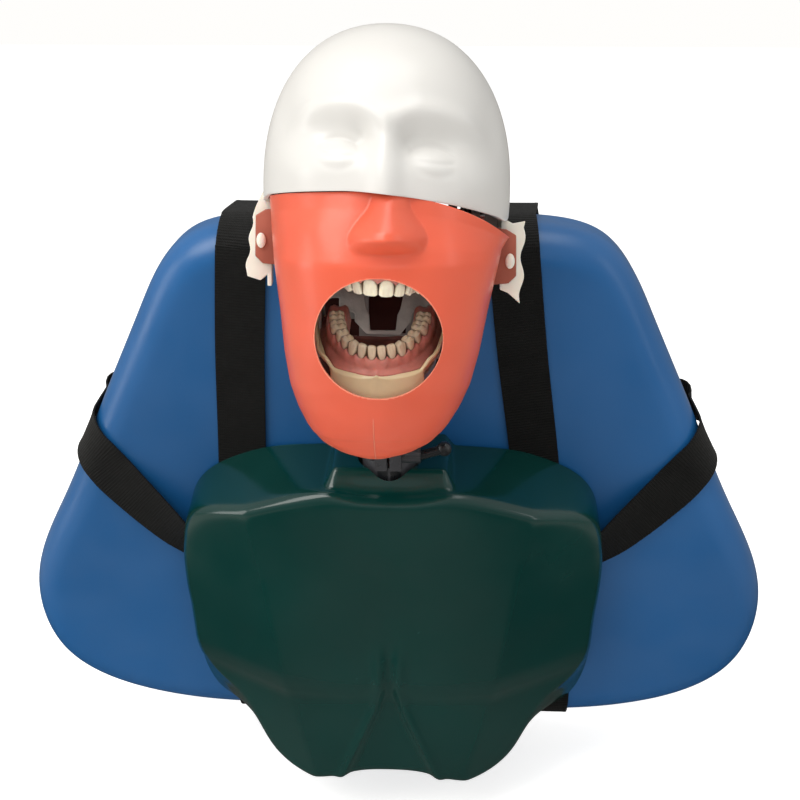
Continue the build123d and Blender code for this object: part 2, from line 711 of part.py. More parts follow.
def ear_plate_right():
    return head(ear_plate())


def ear_plate_left():
    return head(mirror(ear_plate(), about=Plane.YZ))


def ear_plate_screws():
    shapes = []
    for z in EAR_SCREWS_Z:
        shapes.extend(both_sides(rod_x(1.5, 60, 73.5, 30, z - 6) + rod_x(3.2, 72.9, 75, 30, z - 6)))
    return head(group(shapes))


def mask_buttons():
    x, z = BUTTON
    stem = rod_y(2.5, x, -14.6, -5, z)
    button = stem + rod_y(4.5, x, -16.4, -13.4, z) + rod_y(3.6, x, -6.7, -5, z)
    return head(group(both_sides(button)))


def mask_section(half, front, rear):
    """Closed horizontal section, rounded at the front and straight across the rear."""
    depth = rear - front
    side = [(half, rear), (half * 0.985, rear - depth * 0.3), (half * 0.86, rear - depth * 0.63)]
    side += [(half * 0.54, rear - depth * 0.91), (0, front)]
    left = [(-x, y) for x, y in reversed(side[:-1])]
    curve = Spline(side + left, tangents=[(0, -1), (0, 1)])
    return make_face(curve + Line((-half, rear), (half, rear)))


def mask_form(d, rear_shift):
    sections = []
    for z, half, front, rear in MASK_LEVELS:
        lift = d if z == MASK_LEVELS[-1][0] else 0
        raise_top = 4 if d and z == MASK_LEVELS[0][0] else 0
        sections.append(Pos(0, 0, z + lift + raise_top) * mask_section(half - d, front + d, rear + rear_shift))
    return loft(sections)


def nose():
    levels = [(10, 4, -84, -90), (-12, 21, -84, -107), (-19, 17, -84, -104), (-25, 9, -86, -96)]
    sections = []
    for z, half, rear, tip in levels:
        curve = Spline((half, rear), (half * 0.55, (rear + tip) / 2 - 2), (0, tip), (-half * 0.55, (rear + tip) / 2 - 2), (-half, rear))
        sections.append(Pos(0, 0, z) * make_face(curve + Line((-half, rear), (half, rear))))
    return loft(sections)


def face_mask():
    outer = mask_form(0, 0) + nose()
    shell = outer - mask_form(MASK_WALL, 16)
    hole = Pos(0, -60, MOUTH_Z) * Rot(90, 0, 0) * extrude(Ellipse(*MOUTH_HALF), amount=60)
    shell -= hole
    top = [(-130, 14), (-60, 11), (10, 3.5), (10, 30), (-130, 30)]
    shell -= prism_x(top, -90, 90)
    flap = box(64.5, 81, -13, -10.2, -36, -3)
    flap = fillet(flap.edges().filter_by(Axis.Y).group_by(Axis.X)[-1], 5)
    flap -= rod_y(2.6, BUTTON[0], -15, -9, BUTTON[1])
    inner = mask_form(MASK_WALL, 16)
    for side in both_sides(flap):
        shell += side - inner
    return head(shell)


def throat_guard():
    return head(box(-20.4, 20.4, 22.2, 23.8, -76, -21))


def tilt_pin():
    y, z = TILT_PIN
    pin = rod_x(TILT_PIN_R, -30, 34, y, z) + rod_x(8, -30, -27.3, y, z)
    knob = fillet(rod_x(10, 32, 44, y, z).edges(), 2)
    for i in range(8):
        angle = radians(45 * i)
        knob -= rod_x(2.4, 31, 45, y + 11 * cos(angle), z + 11 * sin(angle))
    return head(pin + knob)


def hinge_pins():
    pin = rod_x(HINGE_PIN_R, 34.5, 58, 0, 0) + rod_x(6.5, 57.2, 60, 0, 0) + rod_x(5.6, 34.5, 37, 0, 0)
    return head(group(both_sides(pin)))


def jaw_springs():
    coil = Helix(pitch=2.4, height=4.8, radius=6.2)
    wire = sweep(Plane(origin=coil @ 0, z_dir=coil % 0) * Circle(0.8), path=coil)
    spring = Pos(45.2, 0, 0) * Rot(0, 90, 0) * wire
    return head(group(both_sides(spring)))


# Teeth and arches ----------------------------------------------------------------------------------------
# width along the arch, depth across it, biting-edge depth, crown height, from the middle outwards
UPPER_TEETH = [
    (8.6, 6.2, 2.0, 10.5), (6.8, 6.0, 1.9, 9.4), (7.6, 7.6, 2.6, 10.0), (7.1, 8.6, 6.0, 8.4),
    (6.8, 8.8, 6.2, 8.0), (10.4, 10.6, 8.4, 7.4), (9.8, 10.4, 8.2, 7.0),
]
LOWER_TEETH = [
    (5.4, 5.6, 1.9, 9.0), (5.9, 5.8, 1.9, 9.2), (6.9, 7.2, 2.6, 9.8), (7.0, 7.6, 5.4, 8.6),
    (7.1, 8.0, 6.0, 8.2), (11.2, 10.2, 8.2, 7.4), (10.6, 10.0, 8.0, 7.0),
]
UPPER_CURVE = (27.5, 47.0)           # half width and depth of the tooth row
LOWER_CURVE = (26.5, 45.0)
ARCH_END = 15.0                      # the arches run straight back this far
GUM_Z = (7.2, 16.0)
BASE_Z = {"upper": (16.2, 26.0), "lower": (16.2, 33.0)}
BITE_GAP = 0.2
PEG_R = 2.1
PEG_TOP = 19.0


def tooth_places(curve, teeth):
    """Middle of each right-hand tooth on the arch, with the arch's heading there in degrees."""
    a, b = curve
    targets, edge = [], 0.0
    for width, _, _, _ in teeth:
        targets.append(edge + width / 2)
        edge += width
    places, travelled, angle, step = [], 0.0, 0.0, 0.001
    while len(places) < len(targets):
        if travelled >= targets[len(places)]:
            heading = atan2(b * sin(angle), a * cos(angle))
            places.append((a * sin(angle), -b * cos(angle), degrees(heading)))
        travelled += hypot(a * cos(angle), b * sin(angle)) * step
        angle += step
    return places


def tooth(width, depth, edge, height):
    """Crown with its biting edge at z = 0 and a peg that reaches through the gum."""
    biting = Pos(0, 0, BITE_GAP) * RectangleRounded(width * 0.93, edge, min(width, edge) * 0.3)
    belly = Pos(0, 0, height * 0.6) * RectangleRounded(width * 0.97, depth, min(width, depth) * 0.3)
    neck = Pos(0, 0, height) * RectangleRounded(width * 0.8, depth * 0.86, min(width, depth) * 0.3)
    body = loft([biting, belly, neck], ruled=True)
    if edge > 5:
        body -= Pos(0, 0, BITE_GAP) * Rot(0, 45, 0) * Box(1.4, depth + 2, 1.4)
    if edge > 8:
        body -= Pos(0, 0, BITE_GAP) * Rot(45, 0, 0) * Box(width + 2, 1.4, 1.4)
    body += rod_z(PEG_R, 0, 0, height - 0.5, PEG_TOP)
    return body - rod_z(0.95, 0, 0, 11, PEG_TOP + 1)


def along_arch(curve, teeth, build):
    """One shape per tooth on both sides of the arch."""
    shapes = []
    for (x, y, heading), size in zip(tooth_places(curve, teeth), teeth):
        shape = Pos(x, y, 0) * Rot(0, 0, heading) * build(*size)
        shapes.extend(both_sides(shape))
    return shapes


def socket(width, depth, edge, height):
    """Room a tooth and its peg need in the gum and the base."""
    return Box(width + 0.4, depth + 0.4, 2 * height + 0.3) + rod_z(PEG_R + 0.1, 0, 0, 0, PEG_TOP + 0.2)


def screw_bore(base_top):
    """Builds a tooth screw's bore with room for its head at the base's far face."""
    def build(width, depth, edge, height):
        return rod_z(1.1, 0, 0, 10, base_top + 1) + rod_z(2.3, 0, 0, base_top - 3, base_top + 1)
    return build


def tooth_screw(base_top):
    def build(width, depth, edge, height):
        return rod_z(0.9, 0, 0, 12, base_top - 2) + rod_z(2.1, 0, 0, base_top - 2.9, base_top - 0.9)
    return build


def place_upper(shape):
    return head(arch(shape))


def place_lower(shape):
    return jaw(arch(mirror(shape, about=Plane.XY)))


def upper_teeth():
    return place_upper(group(along_arch(UPPER_CURVE, UPPER_TEETH, tooth)))


def lower_teeth():
    return place_lower(group(along_arch(LOWER_CURVE, LOWER_TEETH, tooth)))


def upper_gum():
    a, b = UPPER_CURVE
    gum = arch_solid(a + 6.2, b + 4.2, ARCH_END, *GUM_Z)
    gum -= arch_solid(a - 6.4, b - 7, ARCH_END + 1, GUM_Z[0] - 1, GUM_Z[1] - 2.5)
    for cut in along_arch(UPPER_CURVE, UPPER_TEETH, socket):
        gum -= cut
    return place_upper(gum)


def lower_gum():
    a, b = LOWER_CURVE
    gum = arch_solid(a + 5.8, b + 3.6, ARCH_END, *GUM_Z)
    gum -= arch_solid(a - 6.0, b - 6, ARCH_END + 1, GUM_Z[0] - 1, GUM_Z[1] + 1)
    for cut in along_arch(LOWER_CURVE, LOWER_TEETH, socket):
        gum -= cut
    return place_lower(gum)


def mouth_floor():
    a, b = LOWER_CURVE
    return place_lower(arch_solid(a - 6.3, b - 6.3, ARCH_END, GUM_Z[1] - 2, GUM_Z[1] + 0.1))


def arch_bores(body, curve, teeth, base_top):
    for cut in along_arch(curve, teeth, socket) + along_arch(curve, teeth, screw_bore(base_top)):
        body -= cut
    return body


def upper_arch_base():
    a, b = UPPER_CURVE
    body = arch_solid(a + 7, b + 2, ARCH_END, *BASE_Z["upper"])
    body = arch_bores(body, UPPER_CURVE, UPPER_TEETH, BASE_Z["upper"][1])
    return place_upper(body - rod_z(3.05, 0, -12, BASE_Z["upper"][0] - 1, 30))


def lower_arch_base():
    a, b = LOWER_CURVE
    low, high = BASE_Z["lower"]
    body = arch_solid(a + 10.5, b + 5, ARCH_END, low, high)
    rim = arch_solid(a + 10.5, b + 5, ARCH_END, 8, low + 0.5)
    rim -= arch_solid(a + 8.3, b + 2.6, ARCH_END + 1, 7, low + 1)
    rim -= prism_x([(-60, 4), (ARCH_END + 2, 4), (ARCH_END + 2, 8), (-60, 19)], -45, 45)
    body = arch_bores(body + rim, LOWER_CURVE, LOWER_TEETH, high)
    return place_lower(body - rod_z(3.05, 0, -34, low - 1, high + 1))


def upper_tooth_screws():
    return place_upper(group(along_arch(UPPER_CURVE, UPPER_TEETH, tooth_screw(BASE_Z["upper"][1]))))


def lower_tooth_screws():
    return place_lower(group(along_arch(LOWER_CURVE, LOWER_TEETH, tooth_screw(BASE_Z["lower"][1]))))


def upper_arch_screw():
    low, high = CARRIER_Z
    return place_upper(rod_z(3.0, 0, -12, 18, high + 1) + rod_z(6, 0, -12, high + 0.1, high + 4))


FRAME_Z = (33.2, 37.2)
JAW_SIDE_X = (38.8, 43.0)


def lower_arch_screw():
    low, high = FRAME_Z
    return place_lower(rod_z(3.0, 0, -34, 19, high + 1) + rod_z(7, 0, -34, high + 0.1, high + 5))


def hinge_in_arch():
    """The jaw hinge (y, z) in the lower arch's mirrored frame."""
    pitch = radians(ARCH_PITCH)
    y, z = -ARCH_MIDDLE[0], -ARCH_MIDDLE[1]
    return (y * cos(pitch) + z * sin(pitch), y * sin(pitch) - z * cos(pitch))


def jaw_frame():
    a, b = LOWER_CURVE
    plate = arch_solid(a + 6, b, 12, *FRAME_Z)
    plate -= arch_solid(a - 8, b - 22, 14, FRAME_Z[0] - 1, FRAME_Z[1] + 1)
    plate += box(-JAW_SIDE_X[1], -a, -6, 12, *FRAME_Z) + box(a, JAW_SIDE_X[1], -6, 12, *FRAME_Z)
    y, z = hinge_in_arch()
    side = [(-6, FRAME_Z[1]), (12, FRAME_Z[1]), (y + 8, z + 4), (y - 7, z - 5), (-6, 22)]
    for x0, x1 in (JAW_SIDE_X, (-JAW_SIDE_X[1], -JAW_SIDE_X[0])):
        plate += prism_x(side, x0, x1) + rod_x(8.6, x0, x1, y, z)
    plate -= rod_x(6.52, -50, 50, y, z)
    return place_lower(plate - rod_z(3.05, 0, -34, FRAME_Z[0] - 1, FRAME_Z[1] + 1))


def jaw_bushes():
    y, z = hinge_in_arch()
    bush = rod_x(6.5, JAW_SIDE_X[0] - 0.3, JAW_SIDE_X[1] + 0.3, y, z)
    bush -= rod_x(HINGE_PIN_R + SHAFT_GAP, 30, 50, y, z)
    return place_lower(group(both_sides(bush)))


NODES = [
    backrest_pad, backrest_board, rear_cover, rear_cover_screws, mount_block, mount_block_screws,
    chest_shell, chest_back_plate, chest_plate_screws, chest_feet,
    shoulder_strap_left, shoulder_strap_right, side_strap_left, side_strap_right,
    lower_strap_left, lower_strap_right, strap_rivets, strap_anchors, anchor_screws,
    buckle_frame, buckle_rivets, buckle_pin, buckle_cam,
    neck_socket, neck_socket_screws, neck_clamp_lever, neck_post, neck_top_bolt, turn_washer,
    neck_yoke, turn_lock_knob,
    head_chassis, head_core, core_screws, skull_cap, cap_screws, ear_plate_left, ear_plate_right,
    ear_plate_screws, mask_buttons, face_mask, throat_guard, tilt_pin, hinge_pins, jaw_springs,
    upper_teeth, upper_gum, upper_arch_base, upper_tooth_screws, upper_arch_screw,
    lower_teeth, lower_gum, mouth_floor, lower_arch_base, lower_tooth_screws, lower_arch_screw,
    jaw_frame, jaw_bushes,
]

if __name__ == "__main__":
    os.makedirs("parts", exist_ok=True)
    for build in NODES:
        export_step(build(), f"parts/{build.__name__}.step")
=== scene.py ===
"""Looks of the dental training manikin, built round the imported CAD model.

Shapes are worked out in millimetres and written to the meshes in metres. The head's pieces are drawn upright
in the head's own frame, whose origin is the jaw hinge, then leaned back; the lower jaw's are drawn closed,
then opened.
"""
import json
from math import atan2, cos, pi, radians, sin, sqrt

import bmesh
import bpy
import numpy as np
from mathutils import Matrix, Vector


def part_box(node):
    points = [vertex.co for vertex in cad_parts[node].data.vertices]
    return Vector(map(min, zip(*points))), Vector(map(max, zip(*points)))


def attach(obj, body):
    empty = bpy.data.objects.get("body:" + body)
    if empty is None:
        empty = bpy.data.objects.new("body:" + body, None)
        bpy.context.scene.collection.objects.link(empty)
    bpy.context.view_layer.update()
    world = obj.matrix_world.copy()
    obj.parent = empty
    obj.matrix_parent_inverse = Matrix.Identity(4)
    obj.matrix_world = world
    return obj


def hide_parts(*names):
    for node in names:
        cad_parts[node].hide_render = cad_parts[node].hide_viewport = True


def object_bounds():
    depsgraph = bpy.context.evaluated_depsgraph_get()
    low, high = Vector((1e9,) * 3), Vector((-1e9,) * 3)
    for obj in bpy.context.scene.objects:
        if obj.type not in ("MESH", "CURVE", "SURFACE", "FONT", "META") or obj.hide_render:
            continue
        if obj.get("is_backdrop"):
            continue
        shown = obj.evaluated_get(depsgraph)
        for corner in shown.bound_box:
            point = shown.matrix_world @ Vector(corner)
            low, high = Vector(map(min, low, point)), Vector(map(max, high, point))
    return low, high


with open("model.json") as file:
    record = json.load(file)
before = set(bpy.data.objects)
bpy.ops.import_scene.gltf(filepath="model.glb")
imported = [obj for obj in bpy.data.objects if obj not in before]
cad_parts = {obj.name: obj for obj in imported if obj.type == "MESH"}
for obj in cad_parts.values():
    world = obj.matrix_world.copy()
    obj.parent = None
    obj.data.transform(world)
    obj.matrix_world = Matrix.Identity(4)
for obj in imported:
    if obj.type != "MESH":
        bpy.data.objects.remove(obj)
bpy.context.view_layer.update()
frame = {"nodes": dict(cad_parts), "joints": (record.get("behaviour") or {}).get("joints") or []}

MM = 0.001
JOINTS = {joint["name"]: joint for joint in frame["joints"]}
HINGE = np.array(JOINTS["jaw_open"]["pos_m"]) / MM
HEAD_LEAN = 14.0
JAW_OPEN = -JOINTS["jaw_open"]["range_deg"][0]
ARCH_PITCH = 4.0
UPPER_DIP = 0.055                    # the upper arch sits this much lower per millimetre forward
UPPER_ROLL = 0.055                   # and this much lower per millimetre to the wearer's left
LOWER_PITCH = 3.0                    # the lower arch is turned down this many degrees at the molars
LOWER_EDGE = np.array([0.0, -46.0, 0.0])
LOWER_ASIDE = np.array([-2.3, 0.0, 0.0])
ARCH_MIDDLE = (-41.0, -38.5)         # y, z of the dental arches' middle in the head frame
PAD_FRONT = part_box("backrest_pad")[0].y / MM
PAD_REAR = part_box("backrest_pad")[1].y / MM
COVER_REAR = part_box("rear_cover")[1].y / MM
CHEST_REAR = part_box("chest_shell")[1].y / MM
PAD_EDGE_R = 26.0
NECK_Y = -124.0
COLLAR_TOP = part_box("chest_shell")[1].z / MM


# --- Mesh helpers
def xyz(x, y, z):
    """Points from coordinates that are arrays or plain numbers."""
    return np.stack(np.broadcast_arrays(x, y, z), -1)


def turn_x(points, angle):
    """Points turned about the X axis by an angle in degrees."""
    c, s = cos(radians(angle)), sin(radians(angle))
    x, y, z = np.moveaxis(np.asarray(points, float), -1, 0)
    return xyz(x, y * c - z * s, y * s + z * c)


def head(points):
    return turn_x(points, -HEAD_LEAN) + HINGE


def arch_to_head(points):
    return turn_x(points, ARCH_PITCH) + np.array([0.0, *ARCH_MIDDLE])


def upper(points):
    """From the bite plane's frame, with z towards the roots, to the whole object's: the upper jaw."""
    points = np.array(points, float)
    points[..., 2] -= UPPER_DIP * -points[..., 1] + UPPER_ROLL * points[..., 0]
    return head(arch_to_head(points))


def lower(points):
    """The same for the lower jaw, opened as far as it is at rest."""
    points = turn_x(np.asarray(points, float) - LOWER_EDGE, LOWER_PITCH) + LOWER_EDGE + LOWER_ASIDE
    return head(turn_x(arch_to_head(points * np.array([1.0, 1.0, -1.0])), JAW_OPEN))


def new_object(name, verts, faces):
    mesh = bpy.data.meshes.new(name)
    mesh.from_pydata((np.asarray(verts, float) * MM).tolist(), [], [list(map(int, f)) for f in faces])
    mesh.validate()
    obj = bpy.data.objects.new(name, mesh)
    bpy.context.scene.collection.objects.link(obj)
    return obj


def grid_faces(rows, cols, wrap, start):
    """Quads of a grid of points stored row by row."""
    faces = []
    for i in range(rows - 1):
        a = start + i * cols
        for j in range(cols if wrap else cols - 1):
            k = (j + 1) % cols
            faces.append((a + j, a + k, a + cols + k, a + cols + j))
    return faces


def joined(name, grids, wrap=True, pole_first=True, pole_last=True):
    """(rows, columns, 3) grids of points in one mesh; a pole closes an end with one middle point."""
    verts, faces = [], []
    for grid in grids:
        rows, cols = grid.shape[:2]
        start = len(verts)
        base = start + (rows - 1) * cols
        verts += grid.reshape(-1, 3).tolist()
        faces += grid_faces(rows, cols, wrap, start)
        if pole_first:
            verts.append(grid[0].mean(0).tolist())
            faces += [(len(verts) - 1, start + (j + 1) % cols, start + j) for j in range(cols)]
        if pole_last:
            verts.append(grid[-1].mean(0).tolist())
            faces += [(len(verts) - 1, base + j, base + (j + 1) % cols) for j in range(cols)]
    return new_object(name, verts, faces)


def sheet(name, grid, wrap=False, pole_first=False, pole_last=False):
    return joined(name, [grid], wrap, pole_first, pole_last)


def shade(obj, sharp=38.0):
    """Smooth shading that stays crisp at edges sharper than an angle."""
    bm = bmesh.new()
    bm.from_mesh(obj.data)
    bmesh.ops.recalc_face_normals(bm, faces=bm.faces)
    for face in bm.faces:
        face.smooth = True
    for edge in bm.edges:
        edge.smooth = len(edge.link_faces) == 2 and edge.calc_face_angle(0.0) < radians(sharp)
    bm.to_mesh(obj.data)
    bm.free()
    return obj


def modify(obj, kind, **settings):
    """Puts the result of one modifier in the object's mesh."""
    modifier = obj.modifiers.new(kind.lower(), kind)
    for key, value in settings.items():
        setattr(modifier, key, value)
    graph = bpy.context.evaluated_depsgraph_get()
    mesh = bpy.data.meshes.new_from_object(obj.evaluated_get(graph))
    obj.modifiers.clear()
    obj.data = mesh
    return obj


def round_edges(obj, width, sharp, segments=2):
    """Rounds the edges sharper than an angle."""
    return modify(obj, "BEVEL", width=width * MM, segments=segments, limit_method="ANGLE",
                  angle_limit=radians(sharp))


def thicken(obj, wall, rim):
    """Gives a sheet a wall on its inner side, with rounded rims."""
    modify(obj, "SOLIDIFY", thickness=wall * MM, offset=-1.0, use_even_offset=False)
    return round_edges(obj, rim, 50)


def cut(obj, tool):
    modify(obj, "BOOLEAN", operation="DIFFERENCE", solver="EXACT", object=tool)
    bpy.data.objects.remove(tool)
    return obj


def soften(grid, passes):
    """Rounds a grid or a run of values, in place, by averaging neighbouring rows; the end rows stay."""
    for _ in range(passes):
        grid[1:-1] = (grid[:-2] + 2 * grid[1:-1] + grid[2:]) / 4
    return grid


def even_rows(grid, count):
    """The grid with its rows spread evenly along each column."""
    step = np.linalg.norm(np.diff(grid, axis=0), axis=2)
    travelled = np.vstack([np.zeros(grid.shape[1]), np.cumsum(step, 0)])
    out = np.empty((count, grid.shape[1], 3))
    for j in range(grid.shape[1]):
        at = np.linspace(0, travelled[-1, j], count)
        for k in range(3):
            out[:, j, k] = np.interp(at, travelled[:, j], grid[:, j, k])
    return out


def ease(x, low, high):
    """0 below one value and 1 above another, with a smooth rise between them."""
    t = np.clip((np.asarray(x, float) - low) / (high - low), 0, 1)
    return t * t * (3 - 2 * t)


def bell(x, middle, width):
    return np.exp(-(((x - middle) / width) ** 2))


def bump(x, z, x0, z0, sx, sz):
    return bell(x, x0, sx) * bell(z, z0, sz)


def ride(obj, body, material, *nodes):
    """Puts the piece on a body, in place of the CAD nodes named."""
    obj.data.materials.clear()
    obj.data.materials.append(material)
    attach(obj, body)
    if nodes:
        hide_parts(*nodes)
    return obj


# --- Materials
def put(tree, socket, value):
    """Gives an input a value, or links another node's output to it."""
    if isinstance(value, bpy.types.NodeSocket):
        tree.links.new(value, socket)
    else:
        socket.default_value = value


def node(tree, kind, **inputs):
    made = tree.nodes.new("ShaderNode" + kind)
    for key, value in inputs.items():
        put(tree, made.inputs[key.replace("_", " ")], value)
    return made


def object_coords(tree):
    for existing in tree.nodes:
        if existing.bl_idname == "ShaderNodeTexCoord":
            return existing.outputs["Object"]
    return node(tree, "TexCoord").outputs["Object"]


def axes(tree, vector=None):
    """The x, y and z of a vector, or of the object's own coordinates."""
    return node(tree, "SeparateXYZ", Vector=vector or object_coords(tree)).outputs


def noise(tree, scale, detail=3.0, vector=None):
    made = node(tree, "TexNoise", Scale=scale, Detail=detail, Vector=vector or object_coords(tree))
    return made.outputs["Fac"]


def stretched_noise(tree, stretch, scale, detail):
    """Noise drawn out into lines by a different scale on each axis."""
    drawn = node(tree, "Mapping", Vector=object_coords(tree), Scale=stretch)
    return noise(tree, scale, detail, drawn.outputs["Vector"])


def ramp(tree, value, low, high, out_low, out_high):
    made = node(tree, "MapRange", Value=value, From_Min=low, From_Max=high, To_Min=out_low, To_Max=out_high)
    made.interpolation_type = "SMOOTHSTEP"
    return made.outputs["Result"]


def mix(tree, factor, a, b):
    made = node(tree, "Mix")
    made.data_type = "RGBA"
    for index, value in ((0, factor), (6, a), (7, b)):
        put(tree, made.inputs[index], (*value, 1.0) if isinstance(value, tuple) else value)
    return made.outputs[2]


def maths(tree, operation, *values):
    made = node(tree, "Math")
    made.operation = operation
    for socket, value in zip(made.inputs, values):
        put(tree, socket, value)
    return made.outputs[0]


def finish(name, colour, roughness, mottle, grain=None, metallic=0.0, rough_vary=0.05, coat=0.0,
           coat_rough=0.05, subsurface=0.0, radius=(1.0, 0.3, 0.15), depth=0.002, edge_wear_and_highlight=0.0, edge_wear_and_highlight_colour=None,
           sheen=0.0, specular=0.5, crevice_shade=None, extra=None):
    """Procedural finish: mottled colour, uneven roughness, fine grain, edge wear and painted edge highlight,
    painted crevice shade.
    """
    made = bpy.data.materials.new(name)
    made.use_nodes = True
    tree = made.node_tree
    bsdf = tree.nodes["Principled BSDF"]
    scale, amount = mottle
    dark = tuple(c * (1 - amount) for c in colour)
    light = tuple(min(1.0, c * (1 + amount)) for c in colour)
    base = mix(tree, ramp(tree, noise(tree, scale), 0.3, 0.7, 0.0, 1.0), dark, light)
    # Pointed edges paled: wear on most finishes, and on the mask rubber a painted highlight along its cut
    # rims.
    if edge_wear_and_highlight:
        edge = node(tree, "NewGeometry").outputs["Pointiness"]
        paled_edge = edge_wear_and_highlight_colour or tuple(min(1.0, c * 1.6 + 0.03) for c in colour)
        base = mix(tree, ramp(tree, edge, 0.53, 0.62, 0.0, edge_wear_and_highlight), base, paled_edge)
    # Painted shade: ambient occlusion darkens the colour in crevices and between parts.
    if crevice_shade:
        reach, crevice_shade_colour = crevice_shade
        occlusion_shade = node(tree, "AmbientOcclusion", Distance=reach)
        occlusion_shade.samples = 6
        base = mix(tree, ramp(tree, occlusion_shade.outputs["AO"], 0.25, 0.85, 0.85, 0.0), base, crevice_shade_colour)
    rough = ramp(tree, noise(tree, scale * 4, 5.0), 0.3, 0.7, roughness - rough_vary, roughness + rough_vary)
    height = maths(tree, "MULTIPLY", noise(tree, grain[0], 4.0), grain[1]) if grain else None
    if extra:
        base, rough, height = extra(tree, base, rough, height)
    inputs = {
        "Base Color": base, "Roughness": rough, "Metallic": metallic, "Coat Weight": coat,
        "Coat Roughness": coat_rough, "Sheen Weight": sheen, "Specular IOR Level": specular,
        "Subsurface Weight": subsurface, "Subsurface Radius": radius, "Subsurface Scale": depth,
    }
    if height is not None:
        inputs["Normal"] = node(tree, "Bump", Height=height, Distance=MM, Strength=1.0).outputs["Normal"]
    for key, value in inputs.items():
        put(tree, bsdf.inputs[key], value)
    return made


def webbing_weave(tree, base, rough, height):
    """Ribs across the strap, bent by its yarns, from the strap's own along and across distances."""
    along, across = axes(tree, node(tree, "UVMap").outputs["UV"])[:2]
    yarn = maths(tree, "SINE", maths(tree, "MULTIPLY", across, 2 * pi / YARN_PITCH))
    place = maths(tree, "MULTIPLY_ADD", along, 2 * pi / RIB_PITCH, maths(tree, "MULTIPLY", yarn, 0.8))
    rib = maths(tree, "SINE", place)
    weave = maths(tree, "MULTIPLY_ADD", rib, 0.5, 0.5)
    relief = maths(tree, "MULTIPLY_ADD", rib, 0.16, maths(tree, "MULTIPLY", yarn, 0.07))
    return mix(tree, weave, tuple(c * 0.55 for c in WEB_COLOUR), base), rough, relief


def seam_line(tree, base, rough, height):
    """The mould's pale, slightly raised parting line below the mouth."""
    x, _, z = axes(tree)
    aside = maths(tree, "ABSOLUTE", maths(tree, "ADD", x, 0.0028))
    below = ramp(tree, z, SEAM_TOP_Z * MM, (SEAM_TOP_Z + 2) * MM, 1.0, 0.0)
    line = maths(tree, "MULTIPLY", ramp(tree, aside, 0.0001, 0.0005, 1.0, 0.0), below)
    line = maths(tree, "MULTIPLY", line, 0.35)
    return mix(tree, line, base, (0.95, 0.42, 0.28)), rough, maths(tree, "ADD", line, height)


def brushed(tree, base, rough, height):
    lines = stretched_noise(tree, (1.0, 1.0, 14.0), 220.0, 2.0)
    return base, maths(tree, "MULTIPLY_ADD", lines, 0.12, rough), maths(tree, "MULTIPLY", lines, 0.05)


def plywood(tree, base, rough, height):
    grain = stretched_noise(tree, (1.0, 60.0, 8.0), 6.0, 4.0)
    return mix(tree, grain, base, (0.30, 0.19, 0.10)), rough, maths(tree, "MULTIPLY", grain, 0.1)


SEAM_TOP_Z = HINGE[2] - 92.0
RIB_PITCH, YARN_PITCH = 2.1, 1.3
WEB_COLOUR = (0.0055, 0.0055, 0.005)

# name, colour, roughness, (scale, amount) of the mottling, (scale, depth) of the grain
BLUE = finish(
    "blue_skin", (0.010, 0.100, 0.285), 0.36, (6, 0.08), (900, 0.05), rough_vary=0.06, coat=0.12,
    coat_rough=0.3, edge_wear_and_highlight=0.25)
GREEN = finish(
    "green_gloss", (0.002, 0.034, 0.029), 0.20, (9, 0.10), (160, 0.03), coat=0.3, coat_rough=0.12, edge_wear_and_highlight=0.35,
    edge_wear_and_highlight_colour=(0.02, 0.10, 0.09), specular=0.4)
# The mask rubber's pale edges are a painted highlight along its cut rims.
RUBBER = finish(
    "mask_rubber", (0.740, 0.110, 0.052), 0.38, (14, 0.07), (700, 0.035), rough_vary=0.06, coat=0.25,
    coat_rough=0.22, subsurface=0.12, radius=(1.0, 0.25, 0.1), edge_wear_and_highlight=0.5, edge_wear_and_highlight_colour=(1.0, 0.42, 0.28),
    extra=seam_line)
WHITE = finish(
    "cap_white", (0.69, 0.675, 0.645), 0.36, (7, 0.015), (90, 0.01), rough_vary=0.03, coat=0.12,
    coat_rough=0.25, subsurface=0.05, radius=(1, 0.9, 0.8))
CREAM = finish("ear_cream", (0.80, 0.76, 0.66), 0.34, (40, 0.05), (500, 0.05), subsurface=0.15, edge_wear_and_highlight=0.2)
# Teeth and gums are darkened in their crevices as painted shade.
TOOTH = finish(
    "tooth_ivory", (0.95, 0.86, 0.66), 0.17, (160, 0.06), (500, 0.03), rough_vary=0.04, coat=0.5,
    coat_rough=0.06, subsurface=0.3, radius=(1, 0.85, 0.6), depth=0.0012,
    crevice_shade=(0.003, (0.16, 0.08, 0.04)))
# The lower teeth are the same ivory as the upper ones, painted darker: painted shade inside the mouth.
LOWER_TOOTH_SHADED = finish(
    "tooth_ivory_lower_painted_shade", (0.84, 0.70, 0.50), 0.2, (160, 0.07), (500, 0.03), rough_vary=0.04, coat=0.5,
    coat_rough=0.08, subsurface=0.3, radius=(1, 0.8, 0.55), depth=0.0012,
    crevice_shade=(0.003, (0.12, 0.06, 0.03)))
GUM = finish(
    "gum_pink", (0.66, 0.24, 0.19), 0.42, (120, 0.14), (420, 0.10), rough_vary=0.06, coat=0.15,
    coat_rough=0.3, subsurface=0.3, crevice_shade=(0.010, (0.10, 0.012, 0.010)))
TRAY = finish(
    "tray_cream", (0.90, 0.75, 0.46), 0.34, (60, 0.08), (500, 0.06), coat=0.2, coat_rough=0.2,
    subsurface=0.15, radius=(1, 0.7, 0.4))
WEB = finish("webbing", WEB_COLOUR, 0.72, (60, 0.25), sheen=0.03, specular=0.25, extra=webbing_weave)
CHROME = finish(
    "chrome_steel", (0.72, 0.73, 0.75), 0.10, (60, 0.05), (900, 0.01), metallic=1.0, rough_vary=0.03)
